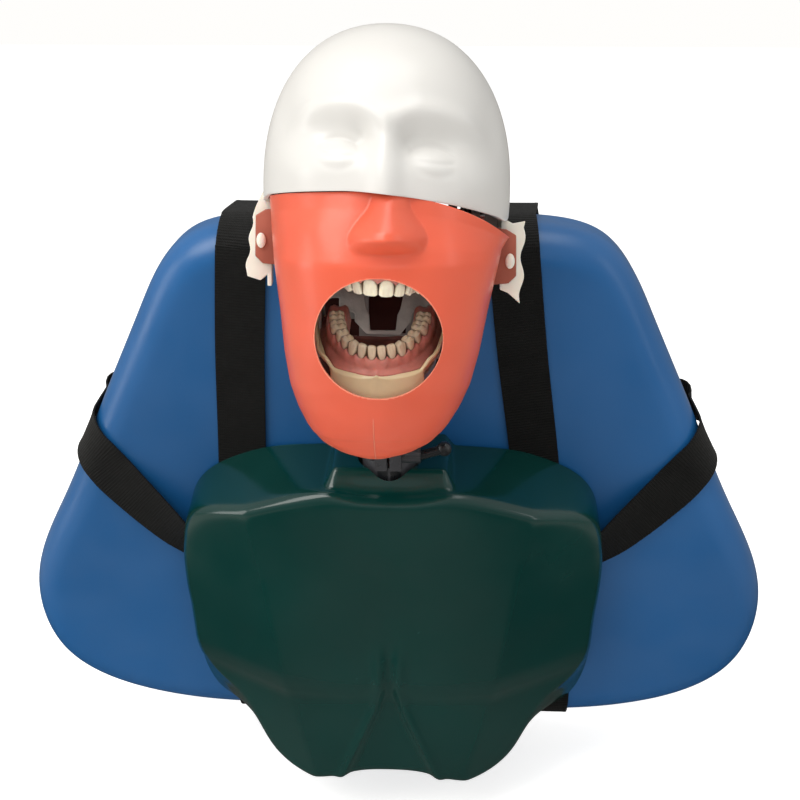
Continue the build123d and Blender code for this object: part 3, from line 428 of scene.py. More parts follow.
# Black enamel on the neck socket and clamp lever, dark also as painted shade for the shadow under the chin.
BLACK_ENAMEL_AND_SHADE = finish(
    "black_enamel_and_painted_shade", (0.012, 0.013, 0.015), 0.3, (25, 0.12), (400, 0.08), coat=0.2, coat_rough=0.2, edge_wear_and_highlight=0.5,
    edge_wear_and_highlight_colour=(0.10, 0.10, 0.11))
FLOOR_RED = finish("floor_red", (0.11, 0.035, 0.028), 0.5, (60, 0.25), (300, 0.15))
# Throat guard colour, darkened near-black as painted shade behind the mouth opening.
THROAT_RED_AND_SHADE = finish("throat_red", (0.040, 0.009, 0.007), 0.65, (60, 0.2), (400, 0.1), specular=0.2)
CAST = finish("rough_cast", (0.40, 0.36, 0.33), 0.7, (55, 0.25), (350, 0.5), edge_wear_and_highlight=0.4)
# The flaps are the mask's rubber painted darker: painted shade, as they lie in shadow.
FLAP_SHADED = finish("flap_rubber_painted_shade", (0.34, 0.085, 0.05), 0.5, (30, 0.15), (700, 0.06))
CORE = finish("core_black", (0.014, 0.011, 0.011), 0.5, (30, 0.2), (600, 0.08), edge_wear_and_highlight=0.2)
STEEL = finish("frame_steel", (0.34, 0.33, 0.32), 0.42, (45, 0.12), metallic=0.75, edge_wear_and_highlight=0.5, extra=brushed)
ZINC = finish("zinc", (0.62, 0.62, 0.61), 0.3, (90, 0.12), (900, 0.04), metallic=1.0, edge_wear_and_highlight=0.3)
ALLOY = finish("cast_alloy", (0.42, 0.43, 0.45), 0.42, (50, 0.10), (700, 0.12), metallic=0.9, edge_wear_and_highlight=0.5)
BRASS = finish("brass", (0.62, 0.44, 0.18), 0.28, (80, 0.12), (900, 0.04), metallic=1.0)
KNOB = finish("knob_black", (0.014, 0.014, 0.015), 0.38, (60, 0.2), (900, 0.08), edge_wear_and_highlight=0.3)
PLASTIC = finish("black_plastic", (0.020, 0.020, 0.022), 0.48, (12, 0.15), (1100, 0.10), edge_wear_and_highlight=0.3)
GREY = finish("grey_plastic", (0.16, 0.165, 0.17), 0.45, (15, 0.08), (900, 0.08), edge_wear_and_highlight=0.2)
POWDER = finish("powder_coat", (0.028, 0.028, 0.031), 0.42, (25, 0.12), (1300, 0.14), edge_wear_and_highlight=0.4)
FOOT = finish("foot_rubber", (0.02, 0.02, 0.02), 0.7, (80, 0.2), (600, 0.12))
PLY = finish("plywood", (0.42, 0.29, 0.16), 0.55, (20, 0.1), extra=plywood)
CARRIED_OVER = {
    PLY: ["backrest_board"], PLASTIC: ["rear_cover"], POWDER: ["mount_block"], GREY: ["chest_back_plate"],
    FOOT: ["chest_feet"], CORE: ["head_core"], CHROME: ["neck_post", "hinge_pins", "buckle_cam"],
    ALLOY: ["neck_yoke"], BLACK_ENAMEL_AND_SHADE: ["neck_socket", "neck_clamp_lever"], BRASS: ["turn_washer", "jaw_bushes"],
    KNOB: ["turn_lock_knob", "tilt_pin"], TRAY: ["upper_arch_base"],
    STEEL: ["head_chassis", "jaw_frame", "strap_anchors", "buckle_frame", "jaw_springs"],
    ZINC: [
        "rear_cover_screws", "mount_block_screws", "chest_plate_screws", "strap_rivets", "anchor_screws",
        "buckle_rivets", "buckle_pin", "neck_socket_screws", "neck_top_bolt", "core_screws", "cap_screws",
        "ear_plate_screws", "upper_tooth_screws", "upper_arch_screw", "lower_tooth_screws",
        "lower_arch_screw",
    ],
}


def dress_cad_nodes():
    for material, names in CARRIED_OVER.items():
        for name in names:
            slots = frame["nodes"][name].data.materials
            slots.clear()
            slots.append(material)


# --- Back board
BOARD_OUTLINE = [
    (0, 220), (105, 220), (150, 209), (190, 152), (223, 83), (264, -4), (295.5, -80), (283, -146),
    (195, -194), (0, -198),
]


def both_sides(points):
    return points + [(-x, z) for x, z in reversed(points) if x > 0]


def closed_spline(points, count):
    """Evenly spread points on a periodic cubic spline, run anticlockwise seen from the front."""
    p = np.array(points, float)
    n = len(p)
    h = np.linalg.norm(np.roll(p, -1, 0) - p, axis=1)
    matrix, right = np.zeros((n, n)), np.zeros((n, 2))
    for i in range(n):
        before, after = (i - 1) % n, (i + 1) % n
        matrix[i, before] += h[before]
        matrix[i, i] += 2 * (h[before] + h[i])
        matrix[i, after] += h[i]
        right[i] = 6 * ((p[after] - p[i]) / h[i] - (p[i] - p[before]) / h[before])
    m = np.linalg.solve(matrix, right)
    dense = []
    for i in range(n):
        after = (i + 1) % n
        b = np.linspace(0, 1, 200, endpoint=False)[:, None]
        a = 1 - b
        bend = ((a ** 3 - a) * m[i] + (b ** 3 - b) * m[after]) * h[i] ** 2 / 6
        dense.append(a * p[i] + b * p[after] + bend)
    dense = np.vstack(dense + [p[:1]])
    travelled = np.concatenate([[0], np.cumsum(np.linalg.norm(np.diff(dense, axis=0), axis=1))])
    at = np.linspace(0, travelled[-1], count, endpoint=False)
    return np.stack([np.interp(at, travelled, dense[:, k]) for k in (0, 1)], -1)[::-1]


def outline_normals(points):
    """Outward unit normals of a closed anticlockwise outline."""
    step = np.roll(points, -1, 0) - np.roll(points, 1, 0)
    normal = np.stack([step[:, 1], -step[:, 0]], -1)
    return normal / np.linalg.norm(normal, axis=1)[:, None]


def backrest_pad():
    """Moulded skin: a flat front with a broad soft edge, slightly dished where the harness pulls on it."""
    outline = closed_spline(both_sides(BOARD_OUTLINE), 420)
    normal = outline_normals(outline)
    rows = [(20.0, PAD_REAR), (1.5, PAD_REAR), (0.3, PAD_REAR - 1.2), (0.0, PAD_REAR - 4)]
    rows += [(0.0, y) for y in np.linspace(PAD_REAR - 8, PAD_FRONT + PAD_EDGE_R, 8)]
    for angle in np.linspace(0, pi / 2, 24)[1:]:
        rows.append((PAD_EDGE_R * (1 - cos(angle)), PAD_FRONT + PAD_EDGE_R * (1 - sin(angle))))
    rings = []
    for inset, y in rows:
        flat = outline - normal * inset
        rings.append(xyz(flat[:, 0], y, flat[:, 1]))
    edge = outline - normal * PAD_EDGE_R
    for share in np.linspace(0, 1, 60)[1:-1]:
        x, z = edge[:, 0] * (1 - share), edge[:, 1] * (1 - share)
        under_straps = 0.9 * bump(np.abs(x), z, 105, 120, 26, 120)
        uneven = 0.7 * np.sin(x / 83.0) ** 2 * ease(share, 0, 0.2)
        rings.append(xyz(x, PAD_FRONT + under_straps + uneven, z))
    grid = soften(even_rows(np.array(rings), 190), 10)
    pad = sheet("backrest_pad_skin", grid, wrap=True, pole_last=True)
    return ride(shade(pad), "backrest", BLUE, "backrest_pad")


# --- Chest
CHEST_MIDDLE_Z = -80.0
CHEST_REAR_VIEW = [
    (0, 60), (50, 56), (95, 52), (120, 44), (140, 33), (152, 18), (157, -2), (157, -60), (154, -150),
    (138, -176), (118, -188), (100, -211), (69, -220), (36, -210), (0, -208),
]
CHEST_FRONT_VIEW = [
    (0, 49), (22, 50), (42, 53), (58, 51), (90, 40), (118, 30), (141, 20), (153, 6), (157.5, -10), (158, -60),
    (155, -96), (149, -124), (137, -134), (121, -144), (110, -160), (101, -184), (92, -198), (76, -207),
    (56, -209), (37, -204), (22, -200), (0, -200),
]


def view_radius(points, angles):
    """Distance from the chest's middle to a symmetric rounded outline, along each angle."""
    dense = closed_spline(both_sides(points), 3000)
    angle = np.arctan2(dense[:, 1] - CHEST_MIDDLE_Z, dense[:, 0])
    order = np.argsort(angle)
    reach = np.hypot(dense[:, 0], dense[:, 1] - CHEST_MIDDLE_Z)
    return np.interp(angles, angle[order], reach[order], period=2 * pi)


def chest_front(x, z):
    """The y of the chest's front: a shallow bow, two creases each side and a groove low in the middle."""
    side = np.abs(x)
    y = -164 + 0.030 * z + 8.0 * ease(-z, 96, 130) + 0.10 * np.maximum(-116 - z, 0)
    inner = np.interp(z, [-200, -114, -75, -19, 27], [60, 78, 83, 91, 101])
    outer = np.interp(z, [-200, -153, -120, -56, 5, 40], [80, 95, 108, 116, 123, 128])
    y += 0.00096 * np.minimum(side, inner) ** 2
    y += 0.58 * np.maximum(side - inner, 0) + 0.02 * np.maximum(side - outer, 0)
    y += 3.2 * bell(x, 0, 22) * ease(-z, -30, 60)
    lip = 7.5 + 0.19 * (np.maximum(-112 - z, 0) + np.maximum(-132 - z, 0))
    y += 0.8 * ease(lip - side, -3.0, 6.0) * ease(-z, 70, 110)
    y -= 3.6 * bell(side, lip, 4.4) * ease(-z, 62, 88)
    return y


def chest_shell():
    """Front and sides in one skin, rounder at the rim than at the creases, with a collar round the neck."""
    angles = np.linspace(-pi, pi, 600, endpoint=False)
    front_r = view_radius(CHEST_FRONT_VIEW, angles)
    rear_r = view_radius(CHEST_REAR_VIEW, angles)
    rows = []
    for share in np.linspace(0.015, 1, 110):
        x = front_r * share * np.cos(angles)
        z = CHEST_MIDDLE_Z + front_r * share * np.sin(angles)
        rows.append(xyz(x, chest_front(x, z), z))
    edge_y = rows[-1][:, 1]
    for share in np.linspace(0, 1, 60)[1:]:
        r = front_r + (rear_r - front_r) * share
        x, z = r * np.cos(angles), CHEST_MIDDLE_Z + r * np.sin(angles)
        rows.append(xyz(x, edge_y + (CHEST_REAR - edge_y) * share, z))
    grid = even_rows(np.array(rows), 240)
    reach = np.hypot(grid[..., 0], grid[..., 2] - CHEST_MIDDLE_Z)
    full = reach.max(0)
    rounded = ease(reach / full, 0.84, 0.96)[..., None]
    crisp = soften(grid, 16)
    grid = crisp + (soften(crisp.copy(), 90) - crisp) * rounded
    spread = full / np.hypot(grid[..., 0], grid[..., 2] - CHEST_MIDDLE_Z).max(0)
    grid[..., 0] *= spread
    grid[..., 2] = CHEST_MIDDLE_Z + (grid[..., 2] - CHEST_MIDDLE_Z) * spread
    x, y, z = grid[..., 0], grid[..., 1], grid[..., 2]
    collar = ease(47 - np.abs(x), 0, 9) * ease(y, -153, -141) * ease(z, 36, 48)
    grid[..., 2] = z + (COLLAR_TOP - z) * collar
    grid = soften(grid, 3)
    grid[-1, :, 1] = CHEST_REAR
    shell = sheet("chest_shell_skin", grid, wrap=True, pole_first=True)
    shell = thicken(shade(shell), 3.2, 0.5)
    cut(shell, bore((0, NECK_Y, 0), (0, 0, 1), 30, 90, 23.2, 23.2, 96))
    return ride(shade(shell, 42), "backrest", GREEN, "chest_shell")


def bore(centre, axis, start, stop, half_width, half_height, columns):
    """Oval cutting tool along an axis that has no x."""
    other = np.cross(axis, (1, 0, 0))
    t = np.linspace(0, 2 * pi, columns, endpoint=False)[:, None]
    ring = half_width * np.cos(t) * (1, 0, 0) + half_height * np.sin(t) * other
    grid = np.array([ring + centre + np.multiply(axis, at) for at in (start, stop)])
    return shade(joined("tool", [grid]))


# --- Webbing
STRAP_WIDTH = 36.0
STRAP_LIFT = 1.05                    # from the surface it lies on to the strap's middle
FLAT_Y = PAD_FRONT - STRAP_LIFT
REAR_Y = COVER_REAR + STRAP_LIFT
COVER_EDGE_R = 6.0
SIDES = ((-1, "left"), (1, "right"))


def smooth_path(points, spacing):
    """Catmull-Rom path through points, sampled about every spacing."""
    p = np.asarray(points, float)
    p = np.vstack([2 * p[0] - p[1], p, 2 * p[-1] - p[-2]])
    out = []
    for i in range(1, len(p) - 2):
        count = max(1, int(np.linalg.norm(p[i + 1, :3] - p[i, :3]) / spacing))
        for t in np.arange(count) / count:
            a = 2 * p[i]
            b = p[i + 1] - p[i - 1]
            c = 2 * p[i - 1] - 5 * p[i] + 4 * p[i + 1] - p[i + 2]
            d = -p[i - 1] + 3 * p[i] - 3 * p[i + 1] + p[i + 2]
            out.append(0.5 * (a + b * t + c * t * t + d * t ** 3))
    out.append(p[-2])
    return np.array(out)


def webbing(name, stations, curl=0.0):
    """Woven strap along (point, outward) stations, crowned, with thicker selvedges and a map in mm."""
    path = smooth_path([(*point, *outward) for point, outward in stations], 3.0)
    centre, outward = path[:, :3], path[:, 3:]
    along = np.gradient(centre, axis=0)
    along /= np.linalg.norm(along, axis=1)[:, None]
    outward -= along * (outward * along).sum(1)[:, None]
    outward /= np.linalg.norm(outward, axis=1)[:, None]
    across = np.cross(along, outward)
    travelled = np.concatenate([[0], np.cumsum(np.linalg.norm(np.diff(centre, axis=0), axis=1))])
    share = np.linspace(-1, 1, 25)
    face = 0.62 + 0.16 * bell(np.abs(share), 0.93, 0.05)
    section = [(s, f) for s, f in zip(share, face)] + [(s, -f) for s, f in zip(share[::-1], face)]
    ripple = 0.12 * np.sin(travelled / 9.0) + 0.10 * np.sin(travelled / 23.0 + 1.0)
    loop = []
    for s, f in section:
        lift = f + ripple * (1 - s * s) + curl * abs(s) ** 3
        loop.append(centre + across * (s * STRAP_WIDTH / 2) + outward * lift[:, None])
    strap = joined(name, [np.stack(loop, 1)])
    uv = strap.data.uv_layers.new(name="UVMap")
    cols = len(section)
    v_of = np.array([s for s, f in section]) * STRAP_WIDTH / 2
    total = len(centre) * cols
    for poly in strap.data.polygons:
        for loop_index in poly.loop_indices:
            vertex = strap.data.loops[loop_index].vertex_index
            if vertex < total:
                uv.data[loop_index].uv = (travelled[vertex // cols], v_of[vertex % cols])
    return shade(strap, 60)


def turn_stations(centre_y, centre_z, edge_r, start, stop, steps):
    """Stations on a rounded edge; 180 degrees faces the viewer and 90 faces up."""
    stations = []
    r = edge_r + STRAP_LIFT
    for i in range(steps + 1):
        angle = radians(start + (stop - start) * i / steps)
        out = (0, cos(angle), sin(angle))
        stations.append(((0, centre_y + r * cos(angle), centre_z + r * sin(angle)), out))
    return stations


def shoulder_straps():
    """Both run a little askew to the wearer's right over the top of the board, and straight behind it."""
    top = 224.5
    over_pad = turn_stations(PAD_FRONT + PAD_EDGE_R, top - PAD_EDGE_R, PAD_EDGE_R, 180, 90, 6)
    over_cover = turn_stations(COVER_REAR - COVER_EDGE_R, top - COVER_EDGE_R, COVER_EDGE_R, 90, 0, 4)
    path = [((askew, FLAT_Y, z), (0, -1, 0)) for z, askew in ((0, 2), (60, 5), (130, 9))]
    path += [((11, y, z), out) for (_, y, z), out in over_pad]
    path += [((7, y, z), out) for (_, y, z), out in over_cover]
    path += [((askew, REAR_Y, z), (0, 1, 0)) for z, askew in ((170, 2), (118, 0))]
    for side, name in SIDES:
        placed = [((side * (96 + (200 - z) * 0.0936) - askew, y, z), out) for (askew, y, z), out in path]
        strap = webbing(f"shoulder_strap_{name}_web", placed)
        ride(strap, "backrest", WEB, f"shoulder_strap_{name}")


def side_straps():
    """Flat round the board's edge, then twisting as they sag towards the chest plate."""
    edge, out = (239.4, 50.0), (0.897, 0.443)

    def at(outward, along, y):
        return (edge[0] + outward * out[0] - along * out[1], y, edge[1] + outward * out[1] + along * out[0])

    def twisted(angle):
        across = Vector((-out[1] * 0.9, 0, -out[0])).normalized()
        return tuple(Vector((0, -1, 0)) * cos(radians(angle)) + across * sin(radians(angle)))

    path = [((146, -96, -34), twisted(52)), ((163, -95, -22), twisted(46)), ((180, -91.5, -7), twisted(34))]
    path += [((198, -87.5, 10), twisted(20)), ((213, FLAT_Y - 1.2, 25), twisted(8))]
    for i in range(1, 7):
        angle = radians(90 * i / 6)
        r = PAD_EDGE_R + STRAP_LIFT + 1.2 * i / 6
        facing = (out[0] * sin(angle), -cos(angle), out[1] * sin(angle))
        place = at(-PAD_EDGE_R + r * sin(angle), -6 + 12.9 * i / 6, PAD_FRONT + PAD_EDGE_R - r * cos(angle))
        path.append((place, facing))
    for i in range(5):
        angle = radians(90 * i / 4)
        facing = (out[0] * cos(angle), sin(angle), out[1] * cos(angle))
        place = at(-6 + 8.25 * cos(angle), 15.0 + 7 * i / 4, COVER_REAR - 7.2 + 8.25 * sin(angle))
        path.append((place, facing))
    path += [((x, REAR_Y, z), (0, 1, 0)) for x, z in ((140, 76), (60, 82), (8, 85))]
    for side, name in SIDES:
        mirrored = [((side * p[0], p[1], p[2]), (side * o[0], o[1], o[2])) for p, o in path]
        strap = webbing(f"side_strap_{name}_web", mirrored, curl=0.5)
        ride(strap, "backrest", WEB, f"side_strap_{name}")


def lower_straps():
    """From behind the chest round the board's lower edge to the rear cover."""
    bottom = -202.2
    path = [((0, FLAT_Y, z), (0, -1, 0)) for z in (-136, -158)]
    path += turn_stations(PAD_FRONT + PAD_EDGE_R, bottom + PAD_EDGE_R, PAD_EDGE_R, 180, 270, 6)
    path += turn_stations(COVER_REAR - COVER_EDGE_R, bottom + COVER_EDGE_R, COVER_EDGE_R, 270, 360, 4)
    path += [((0, REAR_Y, z), (0, 1, 0)) for z in (-160, -118)]
    for _, name in SIDES:
        low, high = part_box(f"lower_strap_{name}")
        x = (low.x + high.x) / 2 / MM
        strap = webbing(f"lower_strap_{name}_web", [((x, y, z), out) for (_, y, z), out in path])
        ride(strap, "backrest", WEB, f"lower_strap_{name}")


# --- Head shells
CAP_HALF_WIDTH, CAP_HALF_LENGTH, CAP_HEIGHT = 75.5, 96.0, 97.0
CAP_MIDDLE_Y, CAP_BASE_Z = 6.0, 15.0
CAP_SQUARENESS = 2.25


def seam_z(x, y):
    """Height of the skull cap's lower edge: lowest at the wearer's left, rising again at the rear."""
    level = np.interp(y, [-90, -40, 0, 40, 102], [13.2, 12.4, 9.5, 7.0, 19.5])
    past = np.maximum(x + 18, 0)
    return level - (0.040 * past + 0.00092 * past ** 2) * ease(-y, -32, 28)


def face_relief(x, z):
    """How far the cap stands out round brow, eyes and nose; the face is turned and tipped a little."""
    u = x - 3.5
    w = z + 0.075 * u
    side = np.abs(u)
    from_eye = side - 27
    brow_w = 56.0 - 0.010 * np.maximum(side - 24, 0) ** 2 - 6.0 * ease(20 - side, 0, 20)
    out = 3.0 * bell(w, brow_w, 6.5) * ease(62 - side, 0, 22)
    out -= 10.0 * bump(side, w, 26, 38, 18, 13.0)
    out -= 3.8 * bump(side, w, 14, 41, 7.5, 10)
    out += 6.6 * bump(side, w, 27, 31.5, 13.5, 9.5)
    # where the lids meet, the fold above the upper lid and the one below the lower lid
    for depth, level, bend, thickness, half, fade in (
            (0.8, 29, 0.012, 1.3, 13, 5), (1.1, 40, -0.030, 2.0, 14, 6), (0.4, 22, 0.030, 2.0, 13, 6)):
        line = bell(w, level + bend * from_eye ** 2, thickness)
        out -= depth * line * ease(half - np.abs(from_eye), 0, fade)
    out += (3.0 + 3.5 * ease(46 - w, 0, 30)) * bell(u, 0, 8.5) * ease(52 - w, 0, 16)
    out += 2.0 * bump(side, w, 45, 20, 14, 10)
    out -= 2.0 * bump(side, w, 62, 52, 13, 20)
    return out + 1.0 * bump(side, w, 26, 80, 22, 14)


def skull_cap():
    columns, rows = 360, 150
    turn = np.linspace(0, 2 * pi, columns, endpoint=False)
    across, ahead = CAP_HALF_WIDTH * np.cos(turn), CAP_HALF_LENGTH * np.sin(turn)
    low = np.arcsin(np.clip((seam_z(across, CAP_MIDDLE_Y + ahead) - CAP_BASE_Z) / CAP_HEIGHT, -1, 1))
    power = 2 / CAP_SQUARENESS
    grid = np.empty((rows, columns, 3))
    for i in range(rows):
        rise = low + (pi / 2 - low) * (i / rows)
        up = np.abs(np.sin(rise)) ** power * np.sign(np.sin(rise))
        reach = np.cos(rise) ** power
        grid[i] = xyz(across * reach, CAP_MIDDLE_Y + ahead * reach, CAP_BASE_Z + CAP_HEIGHT * up)
    x, y, z = grid[..., 0], grid[..., 1], grid[..., 2]
    middle = np.array([0, CAP_MIDDLE_Y, CAP_BASE_Z])
    normal = (grid - middle) / np.square([CAP_HALF_WIDTH, CAP_HALF_LENGTH, CAP_HEIGHT])
    normal /= np.linalg.norm(normal, axis=2)[..., None]
    grid += normal * (face_relief(x, z) * ease(-y, 10, 45))[..., None]
    cap = sheet("skull_cap_shell", head(grid), wrap=True, pole_last=True)
    cap = thicken(shade(cap), 2.8, 0.6)
    return ride(shade(cap, 45), "head", WHITE, "skull_cap")


# height, half width, front y and rear y of the mask's outside, from its top edge to the chin
MASK_ROWS = [
    (14, 72.6, -87.2, -12), (-8, 70, -91.5, -12), (-28, 67, -96, -12), (-55, 62.5, -93, -12),
    (-81, 58.9, -89, -12), (-100, 54.8, -84, -13), (-113, 49.5, -78.5, -16), (-125, 42.5, -71.5, -20),
    (-134, 33.5, -63.5, -26), (-139.6, 22.5, -57, -31), (-142.6, 10, -51, -36),
]
MOUTH_Z, MOUTH_HALF_WIDTH, MOUTH_HALF_HEIGHT = -67.8, 35.5, 33.5


def mask_top(x):
    """The mask's top edge, which falls away from the cap towards the wearer's left."""
    gap = 1.1 + 0.06 * np.maximum(x - 5, 0) + 0.0034 * np.maximum(x - 24, 0) ** 2
    return seam_z(x, -90 + np.abs(x) * 0.9) - gap


def nose_height(x, z):
    """A plain wedge: bridge running down to a blunt tip, then cut back underneath."""
    ridge = np.interp(z, [-21.5, -18.5, -14.5, -10, 0, 10, 17], [0, 8.0, 15.6, 15.4, 10.2, 5.0, 2.0])
    half = np.interp(z, [-22, -17, -12, -7, 3, 17], [17, 21.0, 21.5, 19.0, 11.5, 8.0])
    share = np.clip(np.abs(x - 3.0) / half, 0, 1)
    return ridge * (1 - share ** 1.6)


def face_mask():
    """Rubber sheet from ear to ear, squarer at the cheeks than at its top edge, with a mouth opening."""
    columns, rows = 320, 260
    levels = np.array(MASK_ROWS, float)[::-1]
    fine = np.concatenate([np.linspace(-142.6, -128, 50), np.linspace(-128, 14, rows - 50)[1:]])
    half, front, rear = [soften(np.interp(fine, levels[:, 0], levels[:, k]), 10) for k in (1, 2, 3)]
    turn = np.linspace(-pi / 2, pi / 2, columns)
    power = 2 / np.interp(fine, [-26, 4], [2.5, 2.05])[:, None]
    x = half[:, None] * np.sign(np.sin(turn)) * np.abs(np.sin(turn)) ** power
    y = rear[:, None] + (front - rear)[:, None] * np.abs(np.cos(turn)) ** power
    z = np.repeat(fine[:, None], columns, 1)
    z = np.where(z > -20, -20 + (z + 20) * (mask_top(x) + 20) / 34.0, z)
    side = np.abs(x)
    out = nose_height(x, z) * ease(-y, 50, 70)
    out += 1.4 * bump(side, z, 40, -8, 16, 14) - 1.2 * bump(side, z, 48, -55, 12, 30)
    out += 1.3 * bump(x, z, 0, -120, 24, 10)
    y = y - out * ease(-y, 20, 50)
    x = x + 0.045 * (z + 60)
    mask = sheet("face_mask_rubber", soften(xyz(x, y, z), 2))
    mask = thicken(shade(mask), 2.4, 0.35)
    cut(mask, bore((0, 0, MOUTH_Z), (0, -1, 0), 55, 130, MOUTH_HALF_WIDTH, MOUTH_HALF_HEIGHT, 160))
    round_edges(mask, 0.45, 55)
    return ride(shade(to_head(mask), 40), "head", RUBBER, "face_mask")


def rounded_plate(name, outline, y0, y1, bevel):
    """Flat plate from (x, z) points between two y planes, with rounded edges."""
    count = len(outline)
    verts = [(x, y0, z) for x, z in outline] + [(x, y1, z) for x, z in outline]
    faces = [list(range(count)), [count + i for i in reversed(range(count))]]
    faces += [(i, i + count, (i + 1) % count + count, (i + 1) % count) for i in range(count)]
    return shade(round_edges(new_object(name, verts, faces), bevel, 40, segments=3), 50)


def to_head(obj, mirror=False):
    """Leans back a piece that is drawn upright in the head's frame."""
    if mirror:
        obj.data.transform(Matrix.Scale(-1, 4, (1, 0, 0)))
        obj.data.flip_normals()
    obj.data.transform(Matrix.Translation(Vector(HINGE) * MM) @ Matrix.Rotation(radians(-HEAD_LEAN), 4, "X"))
    return obj


def wavy_edge(x, z0, z1, depth, waves, flare, steps=28):
    """Points down an edge that waves in and out and flares towards its lower end."""
    points = []
    for i in range(steps + 1):
        share = i / steps
        wave = depth * sin(share * waves * 2 * pi)
        points.append((x + wave + flare * share, z0 + (z1 - z0) * share))
    return points


EAR_LEG = [(-9.4, 1.5), (35.8, 1.5), (35.8, -15.8), (6, -15.8), (-4, -42), (-9.4, -44)]
MASK_FLAP = [(64.8, -2.0), (73, -3.0), (79.0, -6.5), (79.6, -31), (75, -35.5), (64.8, -36.5)]


def ear_plates():
    """Moulded brackets with a waved outer edge; the rubber's flaps are buttoned to them."""
    left = [(69.9, 8.5), (75.0, 13.5), (79.5, 4.0)] + wavy_edge(81.5, -2.0, -38.0, -0.9, 2.2, 4.5)
    left += [(77.0, -40.5), (69.9, -34.5)]
    right = [(69.9, -1.0), (77.0, -4.5), (84.5, -3.0)] + wavy_edge(83.6, -7.0, -49.0, 1.3, 1.8, -0.5)
    right += [(82.5, -53.0), (75.0, -46.5), (69.9, -44.5)]
    for mirror, name, outline, drop in ((False, "right", right, -5.0), (True, "left", left, 5.5)):
        flange = rounded_plate(f"ear_plate_{name}_flange", outline, -9.5, -6.9, 0.6)
        leg = rounded_plate(f"ear_plate_{name}_leg", EAR_LEG, 69.9, 72.7, 0.6)
        leg.data.transform(Matrix(((0, 1, 0, 0), (1, 0, 0, 0), (0, 0, 1, 0), (0, 0, 0, 1))))
        leg.data.flip_normals()
        bm = bmesh.new()
        bm.from_mesh(flange.data)
        bm.from_mesh(leg.data)
        bm.to_mesh(flange.data)
        bm.free()
        bpy.data.objects.remove(leg)
        ride(to_head(shade(flange, 50), mirror), "head", CREAM, f"ear_plate_{name}")
        flap_outline = [(x, z + drop) for x, z in MASK_FLAP]
        flap = rounded_plate(f"mask_flap_{name}", flap_outline, -12.8, -10.4, 0.8)
        ride(to_head(flap, mirror), "head", FLAP_SHADED)


def mask_buttons():
    """Domed buttons that hold the mask's flaps."""
    profile = [
        (0.4, -16.4), (1.8, -16.2), (3.0, -15.5), (3.8, -14.5), (3.7, -13.7), (2.6, -13.3), (2.2, -13.0),
        (2.2, -6.6),
    ]
    t = np.linspace(0, 2 * pi, 40, endpoint=False)
    grids = []
    for x0, z0 in ((-75.5, -16), (75.5, -27)):
        rings = [xyz(x0 + r * np.cos(t) * 0.75, y, z0 + r * np.sin(t) * 1.2) for r, y in profile]
        grids.append(head(np.array(rings)))
    buttons = joined("mask_buttons_domed", grids)
    return ride(shade(buttons, 50), "head", CREAM, "mask_buttons")


# --- Teeth and gums
# width along the arch, depth across it, biting-edge depth, crown height, cusps, from the middle outwards
UPPER_TEETH = [
    (8.6, 6.2, 2.0, 10.5, 1), (6.8, 6.0, 1.9, 9.4, 1), (7.6, 7.6, 2.6, 10.0, 0), (7.1, 8.6, 6.0, 8.4, 2),
    (6.8, 8.8, 6.2, 8.0, 2), (10.4, 10.6, 8.4, 7.4, 4), (9.8, 10.4, 8.2, 7.0, 4),
]
LOWER_TEETH = [
    (5.4, 5.6, 1.9, 9.0, 1), (5.9, 5.8, 1.9, 9.2, 1), (6.9, 7.2, 2.6, 9.8, 0), (7.0, 7.6, 5.4, 8.6, 2),
    (7.1, 8.0, 6.0, 8.2, 2), (11.2, 10.2, 8.2, 7.4, 4), (10.6, 10.0, 8.0, 7.0, 4),
]
UPPER_CURVE, LOWER_CURVE = (27.5, 47.0), (26.5, 45.0)
ARCH_END = 15.0
FLOOR_REAR = -19.0


def arch_point(curve, angle):
    """Place and outward direction on the tooth row; beyond a quarter turn it runs straight back."""
    a, b = curve
    t = np.clip(angle, -pi / 2, pi / 2)
    over = np.abs(angle) - np.abs(t)
    x, y = a * np.sin(t), -b * np.cos(t) + over * b
    nx, ny = b * np.sin(t), -a * np.cos(t)
    length = np.hypot(nx, ny)
    return x, y, nx / length, ny / length


def tooth_places(curve, teeth):
    """Angle, place, heading and end of each tooth on one side, found by walking along the arch."""
    widths = np.array([tooth[0] for tooth in teeth])
    angle = np.linspace(0, pi / 2 + 0.3, 4000)
    x, y, _, _ = arch_point(curve, angle)
    travelled = np.concatenate([[0], np.cumsum(np.hypot(np.diff(x), np.diff(y)))])
    ends = np.interp(np.cumsum(widths), travelled, angle)
    at = np.interp(np.cumsum(widths) - widths / 2, travelled, angle)
    x, y, nx, ny = arch_point(curve, at)
    return [(at[i], x[i], y[i], atan2(nx[i], -ny[i]), ends[i]) for i in range(len(teeth))]


def biting_relief(u, v, cusps):
    """How far the biting surface lies above the bite plane, for u along and v across, from -1 to 1."""
    if cusps == 1:
        return 0.5 * np.abs(u) ** 3
    if cusps == 0:
        return 1.7 * np.abs(u) ** 1.2
    spots, spread = [(0, -0.5), (0, 0.55)], 0.30
    if cusps == 4:
        spots, spread = [(-0.48, -0.5), (0.48, -0.5), (-0.48, 0.52), (0.48, 0.52)], 0.17
    top = np.zeros_like(u)
    for u0, v0 in spots:
        top = np.maximum(top, np.exp(-((u - u0) ** 2 + (v - v0) ** 2) / spread))
    return 1.7 * (1 - top)


